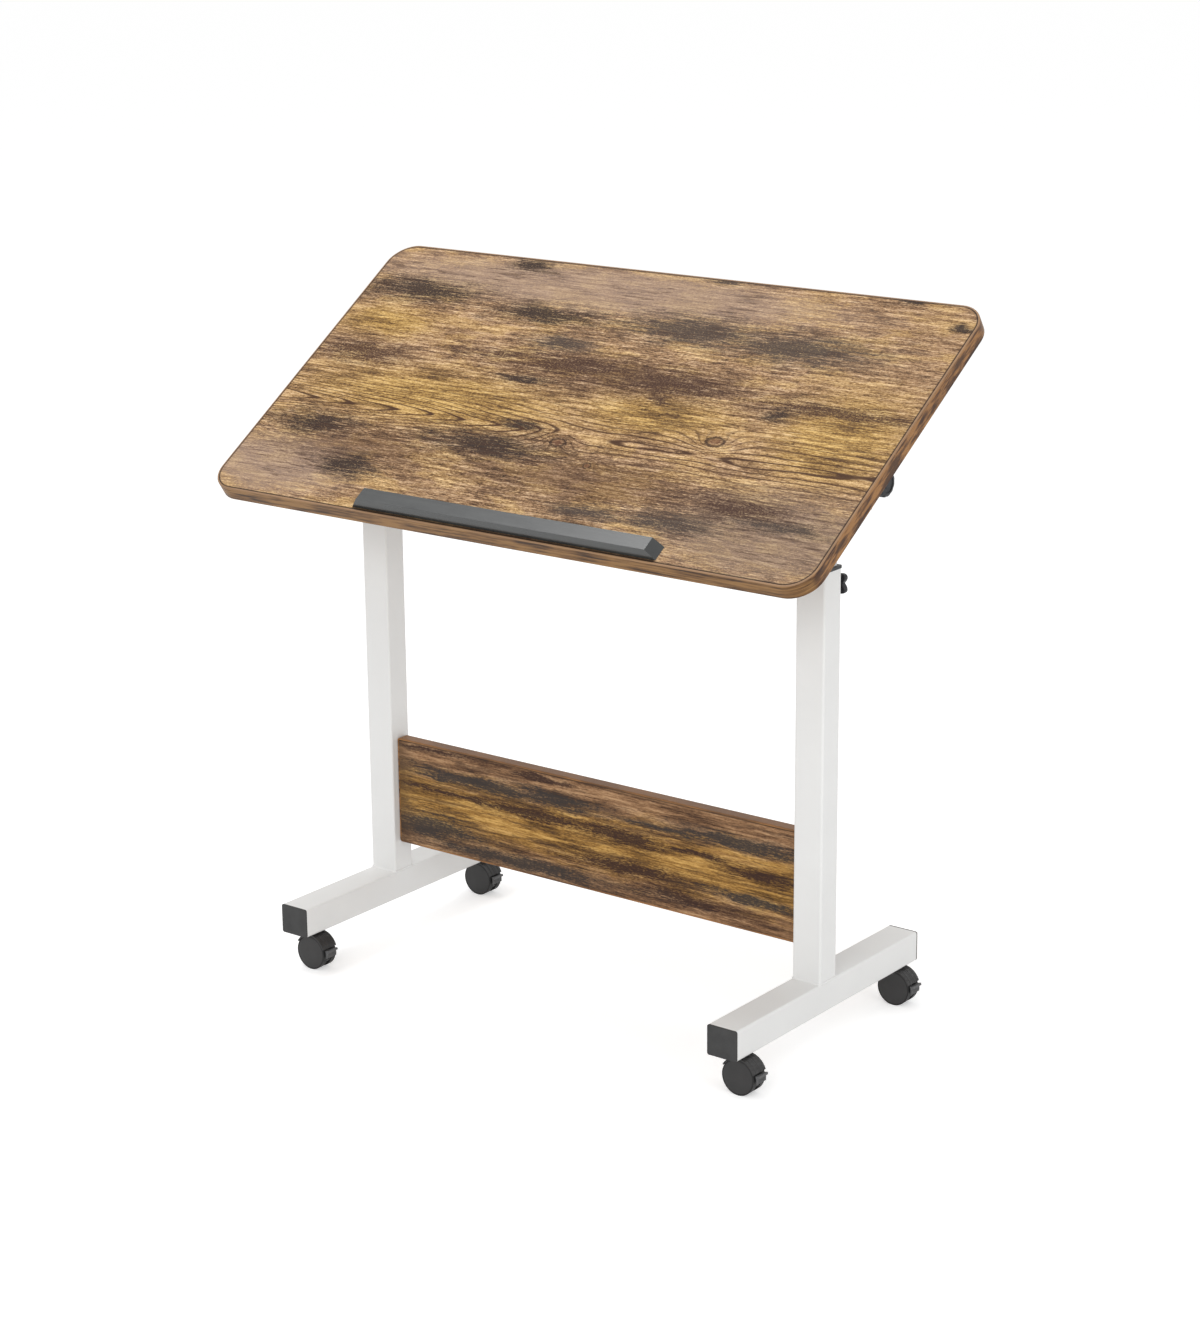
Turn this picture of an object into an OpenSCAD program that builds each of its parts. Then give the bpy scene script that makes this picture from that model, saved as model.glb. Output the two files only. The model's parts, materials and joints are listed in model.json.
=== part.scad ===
// Mobile standing desk: a tilting top on two telescopic columns, two feet and four casters.
// Millimetres. X is left to right, Y runs from the front to the back, Z is up from the floor.
// The origin is on the floor, halfway between the two columns.

/* [Desktop] */
// Width of the top, left to right
top_w = 800; // [700:10:1200]
// Depth of the top, front to back
top_d = 410; // [380:5:600]
// Thickness of the top
top_t = 18; // [16:1:25]
// Radius of the top's four corners
top_corner_r = 32; // [12:1:60]
// Thickness of the edge banding
band_t = 2; // [1.5:0.5:3]
// Rounding of the banding's long edges
band_edge_r = 1; // [0.4:0.1:1.4]
// Tilt of the top, rear edge up, in degrees
top_tilt = 33.7; // [0:0.1:45]

/* [Ledge] */
// Length of the ledge at its base
ledge_len = 405; // [200:5:600]
// Depth of the ledge along the top
ledge_w = 19; // [16:1:30]
// Height of the ledge above the top
ledge_h = 12; // [10:1:20]
// Distance from the top's front edge to the ledge
ledge_setback = 5; // [4:0.5:20]
// Shift of the ledge to the right of the middle
ledge_shift = 16; // [-40:1:40]
// Length of the bevel at each end of the ledge
ledge_bevel = 10; // [2:1:20]
// Wall of the moulded ledge
ledge_wall = 2.4; // [1.6:0.2:3.6]
// Diameter of the ledge's screw bosses
ledge_boss_d = 8; // [7:0.5:10]

/* [Columns] */
// Distance between the centres of the two columns
column_spacing = 598; // [500:2:640]
// Width of the outer tube, left to right
column_w = 36; // [32:1:50]
// Depth of the outer tube, front to back
column_d = 31; // [28:1:45]
// Wall of the outer tube
column_wall = 1.5; // [1.2:0.1:2]
// Length of the outer tube
column_len = 453; // [400:1:600]
// Corner radius of the outer tube
column_corner_r = 2.5; // [2.1:0.1:4]
// Room between the outer and the inner tube, each side
sleeve_room = 1.5; // [1.2:0.1:3]
// Wall of the inner tube
inner_wall = 1.5; // [1.2:0.1:2]
// Travel of the inner tubes
lift_travel = 250; // [150:5:280]
// Length of inner tube still held at full height
grip_len = 110; // [80:5:150]
// Thickness of the collar's rim
collar_rim_t = 3; // [2:0.5:5]
// Depth of the collar's sleeve inside the outer tube
collar_sleeve_len = 12; // [6:1:14]

/* [Feet] */
// Width of the foot tube
foot_w = 37.5; // [36:0.5:50]
// Height of the foot tube
foot_h = 34; // [28:1:50]
// Wall of the foot tube
foot_wall = 1.5; // [1.2:0.1:2.5]
// Corner radius of the foot tube
foot_corner_r = 2.5; // [2.1:0.1:4]
// Reach of the foot in front of the column's centre, with its cap
foot_front = 172; // [140:1:260]
// Reach of the foot behind the column's centre, with its cap
foot_back = 180; // [140:1:260]
// Thickness of the end cap's plate
cap_plate_t = 1.5; // [1:0.5:5]
// Depth of the end cap's plug inside the tube
cap_plug_len = 10; // [6:0.5:12]

/* [Modesty panel] */
// Height of the panel
panel_h = 128; // [80:1:250]
// Thickness of the panel
panel_t = 15; // [12:1:18]
// Height of the panel's lower edge above the floor
panel_z = 114; // [90:1:160]
// Distance from the column's front face to the panel's front face
panel_setback = 9.5; // [4:0.5:11]
// Gap between the panel and each column
panel_side_gap = 0.5; // [0.2:0.1:2]
// Length of the tab that holds the panel, from the column inwards
tab_len = 28; // [22:1:40]
// Height of the tab
tab_h = 24; // [16:1:34]
// Thickness of the tab
tab_t = 2; // [1.5:0.5:2.5]
// Distance from the panel's upper or lower edge to the middle of a tab
tab_inset = 25; // [18:1:36]

/* [Tilt head] */
// Height of the tilt pivot above the outer tube's mouth, at the lowest setting
pivot_rise = 98; // [88:1:160]
// Distance of the pivot behind the top's front edge, along the top
pivot_setback = 187; // [160:1:220]
// Distance of the pivot below the top's underside
pivot_drop = 25; // [22:1:40]
// Distance from the pivot to the clamp stud
clamp_reach = 69; // [58:1:80]
// Fall of the clamp stud behind the pivot, in degrees below level
clamp_fall = 13.4; // [5:0.1:25]
// Largest tilt that the slot allows, in degrees
tilt_limit = 45; // [45:1:50]
// Thickness of the head plate
head_t = 3; // [2.5:0.5:5]
// Length of head plate welded to the tube, below the pivot
head_tail = 62; // [40:1:70]
// Radius of the head plate round the pivot
head_eye_r = 14; // [12:0.5:16]
// Radius of the head plate round the clamp stud
clamp_eye_r = 12; // [10.5:0.5:14]
// Thickness of the quadrant
quadrant_t = 2.5; // [2:0.5:4]
// Material left round the quadrant's slot
slot_land = 8; // [5:1:10]
// Length of the quadrant's flange under the top
flange_len = 300; // [220:5:320]
// Width of the quadrant's flange
flange_w = 24; // [18:1:32]
// Depth of the quadrant's web at the flange's two ends
web_end_d = 12; // [8:1:16]

/* [Clamp knobs] */
// Diameter of the star knob that locks the height
height_knob_d = 34; // [28:1:42]
// Thickness of the star knob's head
height_knob_t = 8; // [6:1:14]
// Distance of the height knob below the column's mouth
height_knob_drop = 21; // [20:1:60]
// Diameter of the round knob that locks the tilt
tilt_knob_d = 30; // [24:1:36]
// Thickness of the round knob's head
tilt_knob_t = 12; // [8:1:16]
// Diameter of the knobs' hub
knob_hub_d = 17; // [15:0.5:20]
// Length of the height knob's hub
height_hub_len = 3.5; // [2:0.5:10]
// Length of the tilt knob's hub
tilt_hub_len = 5; // [2:0.5:10]
// Depth of the stud inside the knob's head and hub
stud_seat = 8; // [5:0.5:9]
// Diameter of the clamp studs and the pivot bolts
stud_d = 8; // [6:0.5:8]
// Diameter of the pad at the end of the height stud
pad_d = 6.4; // [4:0.2:6.4]
// Length of the pad
pad_len = 3; // [2.5:0.5:6]
// Diameter of the washer behind the tilt knob
washer_d = 22; // [18:1:26]
// Thickness of the washer
washer_t = 1.5; // [1:0.5:3]

/* [Casters] */
// Height of the caster under the foot
caster_h = 44; // [44:0.5:60]
// Diameter of the wheels
wheel_d = 40; // [34:0.5:40]
// Width of one wheel at its tread
wheel_w = 7.4; // [6.5:0.1:10]
// Gap between the two wheels
wheel_gap = 7.2; // [6.8:0.1:10]
// Offset of the axle from the stem
caster_trail = 10; // [9:0.5:12]
// Distance from the foot's end to the caster's stem
stem_inset = 25; // [23:0.5:40]
// Diameter of the caster's threaded stem
stem_d = 8; // [6:0.5:8]
// Diameter of the pin that the caster swivels on
swivel_pin_d = 4.4; // [3.6:0.1:4.6]
// Diameter of the axle
axle_d = 4; // [3:0.5:5]
// Thickness of the hood over the wheels
hood_t = 1.4; // [1:0.1:1.8]
// Diameter of the brake lever's pin
brake_pin_d = 3; // [2:0.2:3.2]

/* [Hardware] */
// Width across the flats of the nuts
nut_af = 13; // [11:0.5:13]
// Thickness of the nuts
nut_t = 6; // [5:0.5:8]
// Diameter of the wood screws
screw_d = 4; // [3:0.5:5]
// Diameter of the wood screws' heads
screw_head_d = 8; // [6.5:0.5:10]
// Thickness of the wood screws' heads
screw_head_t = 2.4; // [1.6:0.2:3]
// Length of wood screw inside the board
screw_bite = 12; // [8:1:13]

/* [Hidden] */
$fn = 64;
// Radial clearance of a running fit
run = 0.05;
// Clearance between faces that pass each other
gap = 0.3;
// Clearance round a bolt or stem in a hole
bolt_room = 0.25;
// A cut reaches this far past a face
over = 1;
// The sides of a slot or link cross its round ends by this much
tangent_ease = 0.04;

// Heights of the fixed frame
foot_top = caster_h + foot_h;
column_top = foot_top + column_len;
height_knob_z = column_top - height_knob_drop;
// Places of the columns and of their faces
leg_x = column_spacing / 2;
column_outer_x = leg_x + column_w / 2;
column_inner_x = leg_x - column_w / 2;
// The inner tube
inner_w = column_w - 2 * (column_wall + sleeve_room);
inner_d = column_d - 2 * (column_wall + sleeve_room);
inner_corner_r = 2;
inner_bottom = column_top - lift_travel - grip_len;
inner_outer_x = leg_x + inner_w / 2;
glide_t = 6;
plug_len = 12;
plug_wall = 2;
// The tilt head, from the inner tube outwards
pivot_z = column_top + pivot_rise;
nut_corner_r = nut_af / 2 / cos(30);
inner_top = pivot_z - nut_corner_r - 3;
head_x = inner_outer_x;
quadrant_x = head_x + head_t + gap;
washer_x = quadrant_x + quadrant_t + gap;
tilt_knob_x = washer_x + washer_t + gap;
stud_r = stud_d / 2;
slot_r = stud_r + gap;
clamp_at = [clamp_reach * cos(clamp_fall), -clamp_reach * sin(clamp_fall)];
bolt_head_r = 8;
bolt_head_t = 5;
// The quadrant, about the pivot, with the top level
quadrant_r = clamp_reach + slot_r + slot_land;
slot_high = -clamp_fall;
slot_low = -clamp_fall - tilt_limit;
land_angle = asin((slot_r + slot_land) / clamp_reach);
flange_front = top_d / 2 - pivot_setback - flange_len / 2;
// Screws through the flange
flange_screws = 4;
flange_screw_inset = 20;
// The modesty panel
panel_len = 2 * (column_inner_x - panel_side_gap);
panel_front_y = -column_d / 2 + panel_setback;
panel_back_y = panel_front_y + panel_t;
panel_corner_r = band_t + 1;
tab_screw_x = column_inner_x - tab_len + 10;
tab_z = [panel_z + tab_inset, panel_z + panel_h - tab_inset];
// The ledge's screws
ledge_screw_x = [-ledge_len * 0.38, 0, ledge_len * 0.38];
ledge_screw_v = ledge_setback + ledge_w / 2;
ledge_front_draft = 1.5;
// The height clamp, outwards from the column's rear face
clamp_nut_y = column_d / 2;
height_knob_y = clamp_nut_y + nut_t + 1;
pad_y = inner_d / 2 + gap;
// The casters
wheel_r = wheel_d / 2;
wheel_inner_y = wheel_gap / 2;
wheel_outer_y = wheel_inner_y + wheel_w;
wheel_dome = 0.6;
wheel_disc_t = 2.2;
hood_in_r = wheel_r + 0.4;
hood_out_r = hood_in_r + hood_t;
hood_half_w = wheel_outer_y + 0.2;
hood_end = 20;
hood_start = 150;
hood_lip = 3;
web_half_t = wheel_inner_y - gap;
web_r = wheel_r - 0.8;
web_bottom = wheel_r - 9;
neck_r = 8;
stem_flange_t = 1.5;
neck_top = caster_h - stem_flange_t - gap;
swivel_pin_bottom = wheel_r + 7;
stem_end = caster_h + foot_wall + nut_t + 3;
brake_at = [13 * cos(12), 13 * sin(12)];
brake_arm_half_t = web_half_t - 2;
brake_pocket_half_t = brake_arm_half_t + gap;
brake_pedal_half_w = 8;
brake_boss_r = brake_pin_d / 2 + 1.1;
pedal_in_r = wheel_r + 1.2;
pedal_out_r = pedal_in_r + 2;
pedal_tip_r = pedal_in_r + 4.8;
// Each caster: its name, the side of its foot and the place of its stem
CASTERS = [
    ["front_left", -leg_x, stem_inset - foot_front],
    ["front_right", leg_x, stem_inset - foot_front],
    ["rear_left", -leg_x, foot_back - stem_inset],
    ["rear_right", leg_x, foot_back - stem_inset],
];
CASTER_PIECES = ["caster_body", "caster_axle", "front_wheel", "rear_wheel", "brake_lever"];
SIDES = [["left", -1], ["right", 1]];
SIDE_PIECES = [
    "foot_tube", "outer_column", "inner_tube", "tilt_head", "quadrant", "height_knob", "height_stud",
    "clamp_pad", "tilt_knob", "tilt_stud", "tilt_washer",
];
PIECES = [
    "foot_end_caps", "column_collars", "modesty_panel", "panel_edge_band", "panel_tabs", "panel_screws",
    "clamp_nuts", "caster_nuts", "caster_stems", "tube_plugs", "pivot_bolts", "head_nuts", "desktop",
    "desktop_edge_band", "ledge", "ledge_screws", "quadrant_screws",
];

WHITE = [0.93, 0.93, 0.92];
BLACK = [0.2, 0.2, 0.2];
STEEL = [0.7, 0.7, 0.72];
WOOD = [0.56, 0.39, 0.2];
BAND = [0.6, 0.42, 0.24];

function dir(a) = [cos(a), sin(a)];
function lerp(a, b, t) = a + (b - a) * t;

// Places a piece drawn on the right side at the side s, which is -1 for the left
module on_side(s) {
    if (s < 0) mirror([1, 0, 0]) children();
    else children();
}

module both_sides() {
    for (s = [-1, 1]) on_side(s) children();
}

// The top's own frame: v runs back from the front edge and w up from the underside
module on_top() {
    translate([0, 0, pivot_z]) rotate([top_tilt, 0, 0]) translate([0, -pivot_setback, pivot_drop]) children();
}

// Rectangle with rounded corners, about the origin
module round_rect(w, d, r) {
    square([w - 2 * r, d], center = true);
    square([w, d - 2 * r], center = true);
    for (x = [-1, 1], y = [-1, 1]) translate([x * (w / 2 - r), y * (d / 2 - r)]) circle(r);
}

module tube_section(w, d, wall, r) {
    difference() {
        round_rect(w, d, r);
        round_rect(w - 2 * wall, d - 2 * wall, max(r - wall, 0.4));
    }
}

// Two round eyes joined by straight sides, which run a hair inside the circles so that they cross them
module link(p, pr, q, qr) {
    a = atan2(q.y - p.y, q.x - p.x);
    turn = acos((pr - qr) / norm(q - p));
    p_in = pr - tangent_ease;
    q_in = qr - tangent_ease;
    translate(p) circle(pr);
    translate(q) circle(qr);
    polygon([
        p + p_in * dir(a - turn), q + q_in * dir(a - turn), q + q_in * dir(a + turn), p + p_in * dir(a + turn),
    ]);
}

// Drawn in the plane of Y and Z, and given its thickness from x outwards
module plate_at(x, t) {
    translate([x, 0, 0]) rotate([90, 0, 90]) linear_extrude(t) children();
}

module rod_x(x, length, r) {
    translate([x, 0, 0]) rotate([0, 90, 0]) cylinder(h = length, r = r);
}

// The wood board inside its banding, lying on z = 0
module board(w, d, t, r) {
    linear_extrude(t) round_rect(w - 2 * band_t, d - 2 * band_t, r - band_t);
}

module band_section(t) {
    square([band_t - band_edge_r, t]);
    translate([0, band_edge_r]) square([band_t, t - 2 * band_edge_r]);
    for (z = [band_edge_r, t - band_edge_r]) translate([band_t - band_edge_r, z]) circle(band_edge_r);
}

// The banding round a board: a straight strip on each side and a turn at each corner
module banding(w, d, t, r) {
    for (a = [0, 180]) {
        rotate([0, 0, a]) translate([w / 2 - band_t, d / 2 - r, 0]) rotate([90, 0, 0])
            linear_extrude(d - 2 * r) band_section(t);
        rotate([0, 0, a + 90]) translate([d / 2 - band_t, w / 2 - r, 0]) rotate([90, 0, 0])
            linear_extrude(w - 2 * r) band_section(t);
    }
    for (x = [0, 1], y = [0, 1]) mirror([x, 0, 0]) mirror([0, y, 0])
        translate([w / 2 - r, d / 2 - r, 0]) rotate_extrude(angle = 90)
            translate([r - band_t, 0]) intersection() {
                band_section(t);
                square([band_t, t]);
            }
}

// A pan-head wood screw: its shank runs up from z = 0 and its head hangs below
module wood_screw(shank) {
    cylinder(h = shank, r = screw_d / 2);
    translate([0, 0, -screw_head_t]) intersection() {
        cylinder(h = screw_head_t, r = screw_head_d / 2);
        translate([0, 0, screw_head_d]) sphere(r = screw_head_d * 1.06);
    }
}

module nut(bore_r) {
    difference() {
        cylinder(h = nut_t, r = nut_corner_r, $fn = 6);
        translate([0, 0, -over]) cylinder(h = nut_t + 2 * over, r = bore_r);
    }
}

/* Feet */

module foot_tube() {
    plain_len = foot_front + foot_back - 2 * cap_plate_t;
    color(WHITE) difference() {
        translate([leg_x, foot_back - cap_plate_t, caster_h + foot_h / 2]) rotate([90, 0, 0])
            linear_extrude(plain_len) tube_section(foot_w, foot_h, foot_wall, foot_corner_r);
        for (y = [stem_inset - foot_front, foot_back - stem_inset])
            translate([leg_x, y, caster_h - over]) cylinder(h = foot_wall + 2 * over, r = stem_d / 2 + bolt_room);
    }
}

module foot_end_cap() {
    linear_extrude(cap_plate_t) round_rect(foot_w, foot_h, foot_corner_r);
    translate([0, 0, cap_plate_t]) linear_extrude(cap_plug_len)
        tube_section(foot_w - 2 * foot_wall, foot_h - 2 * foot_wall, plug_wall, 1.4);
}

module foot_end_caps() {
    color(BLACK) both_sides() {
        translate([leg_x, -foot_front, caster_h + foot_h / 2]) rotate([-90, 0, 0]) foot_end_cap();
        translate([leg_x, foot_back, caster_h + foot_h / 2]) rotate([90, 0, 0]) foot_end_cap();
    }
}

/* Columns */

module outer_column() {
    color(WHITE) difference() {
        translate([leg_x, 0, foot_top]) linear_extrude(column_len)
            tube_section(column_w, column_d, column_wall, column_corner_r);
        translate([leg_x, column_d / 2 - column_wall - over, height_knob_z]) rotate([-90, 0, 0])
            cylinder(h = column_wall + 2 * over, r = stud_r + bolt_room);
    }
}

module column_collars() {
    cavity_w = column_w - 2 * column_wall;
    cavity_d = column_d - 2 * column_wall;
    color(BLACK) both_sides() translate([leg_x, 0, column_top]) difference() {
        union() {
            linear_extrude(collar_rim_t) round_rect(column_w + 2, column_d + 2, column_corner_r + 1);
            translate([0, 0, -collar_sleeve_len]) linear_extrude(collar_sleeve_len + over)
                round_rect(cavity_w, cavity_d, max(column_corner_r - column_wall, 0.4));
        }
        translate([0, 0, -collar_sleeve_len - over]) linear_extrude(collar_sleeve_len + collar_rim_t + 2 * over)
            round_rect(inner_w + 2 * gap, inner_d + 2 * gap, inner_corner_r);
    }
}

module inner_tube() {
    color(WHITE) translate([leg_x, 0, inner_bottom]) linear_extrude(inner_top - inner_bottom)
        tube_section(inner_w, inner_d, inner_wall, inner_corner_r);
}

// A hollow plug in the end of an inner tube, under a flange of the given size
module tube_plug(w, d, t) {
    linear_extrude(t) round_rect(w, d, inner_corner_r);
    translate([0, 0, t]) linear_extrude(plug_len)
        tube_section(inner_w - 2 * inner_wall, inner_d - 2 * inner_wall, plug_wall, 0.6);
}

module tube_plugs() {
    slide_room = 2 * (column_wall + gap);
    color(BLACK) both_sides() {
        translate([leg_x, 0, inner_bottom - glide_t])
            tube_plug(column_w - slide_room, column_d - slide_room, glide_t);
        translate([leg_x, 0, inner_top + 1.5]) mirror([0, 0, 1]) tube_plug(inner_w, inner_d, 1.5);
    }
}

/* Modesty panel */

module panel_place() {
    translate([0, panel_back_y, panel_z + panel_h / 2]) rotate([90, 0, 0]) children();
}

module tab_places() {
    both_sides() for (z = tab_z) translate([tab_screw_x, panel_back_y, z]) children();
}

module modesty_panel() {
    color(WOOD) difference() {
        panel_place() board(panel_len, panel_h, panel_t, panel_corner_r);
        tab_places() rotate([90, 0, 0]) translate([0, 0, -over]) cylinder(h = screw_bite + over, r = screw_d / 2);
    }
}

module panel_edge_band() {
    color(BAND) panel_place() banding(panel_len, panel_h, panel_t, panel_corner_r);
}

module panel_tabs() {
    color(WHITE) both_sides() for (z = tab_z) difference() {
        translate([column_inner_x - tab_len, panel_back_y, z - tab_h / 2]) cube([tab_len, tab_t, tab_h]);
        translate([tab_screw_x, panel_back_y - over, z]) rotate([-90, 0, 0])
            cylinder(h = tab_t + 2 * over, r = screw_d / 2 + bolt_room);
    }
}

module panel_screws() {
    color(STEEL) tab_places() translate([0, tab_t, 0]) rotate([90, 0, 0]) wood_screw(screw_bite + tab_t);
}

/* Height clamp */

module clamp_nuts() {
    color(WHITE) both_sides() translate([leg_x, clamp_nut_y, height_knob_z]) rotate([-90, 0, 0]) nut(stud_r + run);
}

module height_knob() {
    lobes = 6;
    lobe_r = height_knob_d * 0.15;
    first_lobe = 30;
    ring_r = height_knob_d / 2 - lobe_r;
    color(BLACK) translate([leg_x, height_knob_y, height_knob_z]) rotate([-90, 0, 0]) difference() {
        union() {
            cylinder(h = height_hub_len + 1, r = knob_hub_d / 2);
            translate([0, 0, height_hub_len]) intersection() {
                linear_extrude(height_knob_t) {
                    circle(ring_r);
                    for (i = [0 : lobes - 1]) translate(ring_r * dir(i * 360 / lobes + first_lobe))
                        circle(lobe_r);
                }
                translate([0, 0, height_knob_t - height_knob_d * 1.5]) sphere(r = height_knob_d * 1.5);
            }
        }
        translate([0, 0, -over]) cylinder(h = stud_seat + over, r = stud_r);
    }
}

module height_stud() {
    stud_y = pad_y + pad_len;
    color(STEEL) translate([leg_x, stud_y, height_knob_z]) rotate([-90, 0, 0])
        cylinder(h = height_knob_y + stud_seat - stud_y, r = stud_r);
}

module clamp_pad() {
    color(BLACK) translate([leg_x, pad_y, height_knob_z]) rotate([-90, 0, 0])
        cylinder(h = pad_len - gap, r = pad_d / 2);
}

/* Tilt head */

module head_outline() {
    translate([0, pivot_z]) {
        link([0, 0], head_eye_r, clamp_at, clamp_eye_r);
        translate([-inner_d / 2, -head_tail]) square([inner_d, head_tail]);
    }
}

module tilt_head() {
    color(WHITE) difference() {
        plate_at(head_x, head_t) head_outline();
        translate([0, 0, pivot_z]) rod_x(head_x - over, head_t + 2 * over, stud_r);
        translate([0, clamp_at.x, pivot_z + clamp_at.y])
            rod_x(head_x - over, head_t + 2 * over, stud_r + bolt_room);
    }
}

module pivot_bolts() {
    shank_x = head_x - nut_t - 1.5;
    color(STEEL) both_sides() translate([0, 0, pivot_z]) {
        rod_x(shank_x, washer_x - shank_x, stud_r);
        translate([washer_x, 0, 0]) rotate([0, 90, 0]) intersection() {
            cylinder(h = bolt_head_t, r = bolt_head_r);
            translate([0, 0, bolt_head_t - 9]) sphere(r = 9);
        }
    }
}

module head_nuts() {
    color(STEEL) both_sides() {
        translate([head_x - nut_t, 0, pivot_z]) rotate([0, 90, 0]) nut(stud_r);
        translate([head_x - nut_t, clamp_at.x, pivot_z + clamp_at.y]) rotate([0, 90, 0]) nut(stud_r + run);
    }
}

module clamp_place(x) {
    translate([x, clamp_at.x, pivot_z + clamp_at.y]) rotate([0, 90, 0]) children();
}

module tilt_knob() {
    flutes = 12;
    flute_r = 2.4;
    edge_r = 2.5;
    color(BLACK) clamp_place(tilt_knob_x) difference() {
        union() {
            cylinder(h = tilt_hub_len + 1, r = knob_hub_d / 2);
            translate([0, 0, tilt_hub_len]) rotate_extrude() {
                square([tilt_knob_d / 2 - edge_r, tilt_knob_t]);
                square([tilt_knob_d / 2, tilt_knob_t - edge_r]);
                translate([tilt_knob_d / 2 - edge_r, tilt_knob_t - edge_r]) circle(edge_r);
            }
        }
        for (i = [0 : flutes - 1]) rotate([0, 0, i * 360 / flutes])
            translate([tilt_knob_d / 2 + flute_r * 0.6, 0, tilt_hub_len - over])
                cylinder(h = tilt_knob_t + 2 * over, r = flute_r);
        translate([0, 0, -over]) cylinder(h = stud_seat + over, r = stud_r);
    }
}

module tilt_stud() {
    stud_x = head_x - nut_t - 2;
    color(STEEL) clamp_place(stud_x) cylinder(h = tilt_knob_x + stud_seat - stud_x, r = stud_r);
}

module tilt_washer() {
    color(STEEL) clamp_place(washer_x) difference() {
        cylinder(h = washer_t, r = washer_d / 2);
        translate([0, 0, -over]) cylinder(h = washer_t + 2 * over, r = stud_r + run);
    }
}

/* Quadrants: drawn about the pivot, with the top level */

module slot_outline() {
    far = 2 * clamp_reach;
    half_w = slot_r - tangent_ease;
    intersection() {
        difference() {
            circle(clamp_reach + half_w);
            circle(clamp_reach - half_w);
        }
        polygon([[0, 0], far * dir(slot_low), far * dir((slot_low + slot_high) / 2), far * dir(slot_high)]);
    }
    for (a = [slot_low, slot_high]) translate(clamp_reach * dir(a)) circle(slot_r);
}

module quadrant_outline() {
    far = 2 * quadrant_r;
    low = slot_low - land_angle;
    high = slot_high + land_angle;
    front = flange_front;
    back = flange_front + flange_len;
    polygon([
        [front, pivot_drop], [front, pivot_drop - web_end_d], [-head_eye_r, -head_eye_r / 2],
        clamp_reach * dir((slot_high + high) / 2), [back, pivot_drop - web_end_d], [back, pivot_drop],
    ]);
    circle(head_eye_r + 2);
    intersection() {
        circle(quadrant_r);
        polygon([[0, 0], far * dir(low), far * dir((low + high) / 2), far * dir(high)]);
    }
}

module quadrant_place() {
    translate([0, 0, pivot_z]) rotate([top_tilt, 0, 0]) children();
}

module flange_screw_places() {
    span = flange_len - 2 * flange_screw_inset;
    for (i = [0 : flange_screws - 1])
        translate([
            quadrant_x + quadrant_t - flange_w / 2 - quadrant_t / 2,
            pivot_setback + flange_front + flange_screw_inset + span * i / (flange_screws - 1), 0,
        ]) children();
}

module quadrant() {
    color(WHITE) difference() {
        union() {
            quadrant_place() plate_at(quadrant_x, quadrant_t) quadrant_outline();
            on_top() translate([
                quadrant_x + quadrant_t - flange_w, pivot_setback + flange_front, -quadrant_t,
            ]) cube([flange_w, flange_len, quadrant_t]);
        }
        quadrant_place() plate_at(quadrant_x - over, quadrant_t + 2 * over) slot_outline();
        quadrant_place() rod_x(quadrant_x - over, quadrant_t + 2 * over, stud_r + run);
        on_top() flange_screw_places() translate([0, 0, -quadrant_t - over])
            cylinder(h = quadrant_t + 2 * over, r = screw_d / 2 + bolt_room);
    }
}

module quadrant_screws() {
    color(STEEL) both_sides() on_top() flange_screw_places() translate([0, 0, -quadrant_t])
        wood_screw(screw_bite + quadrant_t);
}

/* Top */

module ledge_screw_places() {
    for (x = ledge_screw_x) translate([x + ledge_shift, ledge_screw_v, 0]) children();
}

module desktop() {
    color(WOOD) on_top() difference() {
        translate([0, top_d / 2, 0]) board(top_w, top_d, top_t, top_corner_r);
        both_sides() flange_screw_places() translate([0, 0, -over]) cylinder(h = screw_bite + over, r = screw_d / 2);
        ledge_screw_places() translate([0, 0, -over]) cylinder(h = top_t + 2 * over, r = screw_d / 2);
    }
}

module desktop_edge_band() {
    color(BAND) on_top() translate([0, top_d / 2, 0]) banding(top_w, top_d, top_t, top_corner_r);
}

// A bar with a drafted front and bevelled ends, standing on y = 0 and z = 0
module ledge_bar(length, w, h, bevel, draft) {
    slope = atan2(bevel, h);
    difference() {
        translate([-length / 2, 0, 0]) rotate([90, 0, 90]) linear_extrude(length)
            polygon([[0, 0], [w, 0], [w, h], [draft, h]]);
        for (a = [0, 1]) mirror([a, 0, 0]) translate([length / 2, -over, 0]) rotate([0, -slope, 0])
            translate([0, 0, -length]) cube([length, w + 2 * over, 2 * length]);
    }
}

module ledge() {
    color(BLACK) on_top() translate([0, 0, top_t]) difference() {
        union() {
            difference() {
                translate([ledge_shift, ledge_setback, 0])
                    ledge_bar(ledge_len, ledge_w, ledge_h, ledge_bevel, ledge_front_draft);
                translate([ledge_shift, ledge_setback + ledge_wall, -over]) ledge_bar(
                    ledge_len - 2 * ledge_wall - ledge_bevel / 2, ledge_w - 2 * ledge_wall,
                    ledge_h - ledge_wall + over, ledge_bevel, ledge_front_draft
                );
            }
            ledge_screw_places() cylinder(h = ledge_h - 1, r = ledge_boss_d / 2);
        }
        ledge_screw_places() translate([0, 0, -over]) cylinder(h = ledge_h - ledge_wall + over, r = screw_d / 2);
    }
}

module ledge_screws() {
    color(STEEL) on_top() ledge_screw_places() wood_screw(top_t + ledge_h - ledge_wall - 1);
}

/* Casters */

module caster_nuts() {
    color(STEEL) for (c = CASTERS) translate([c[1], c[2], caster_h + foot_wall]) nut(stem_d / 2);
}

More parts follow.
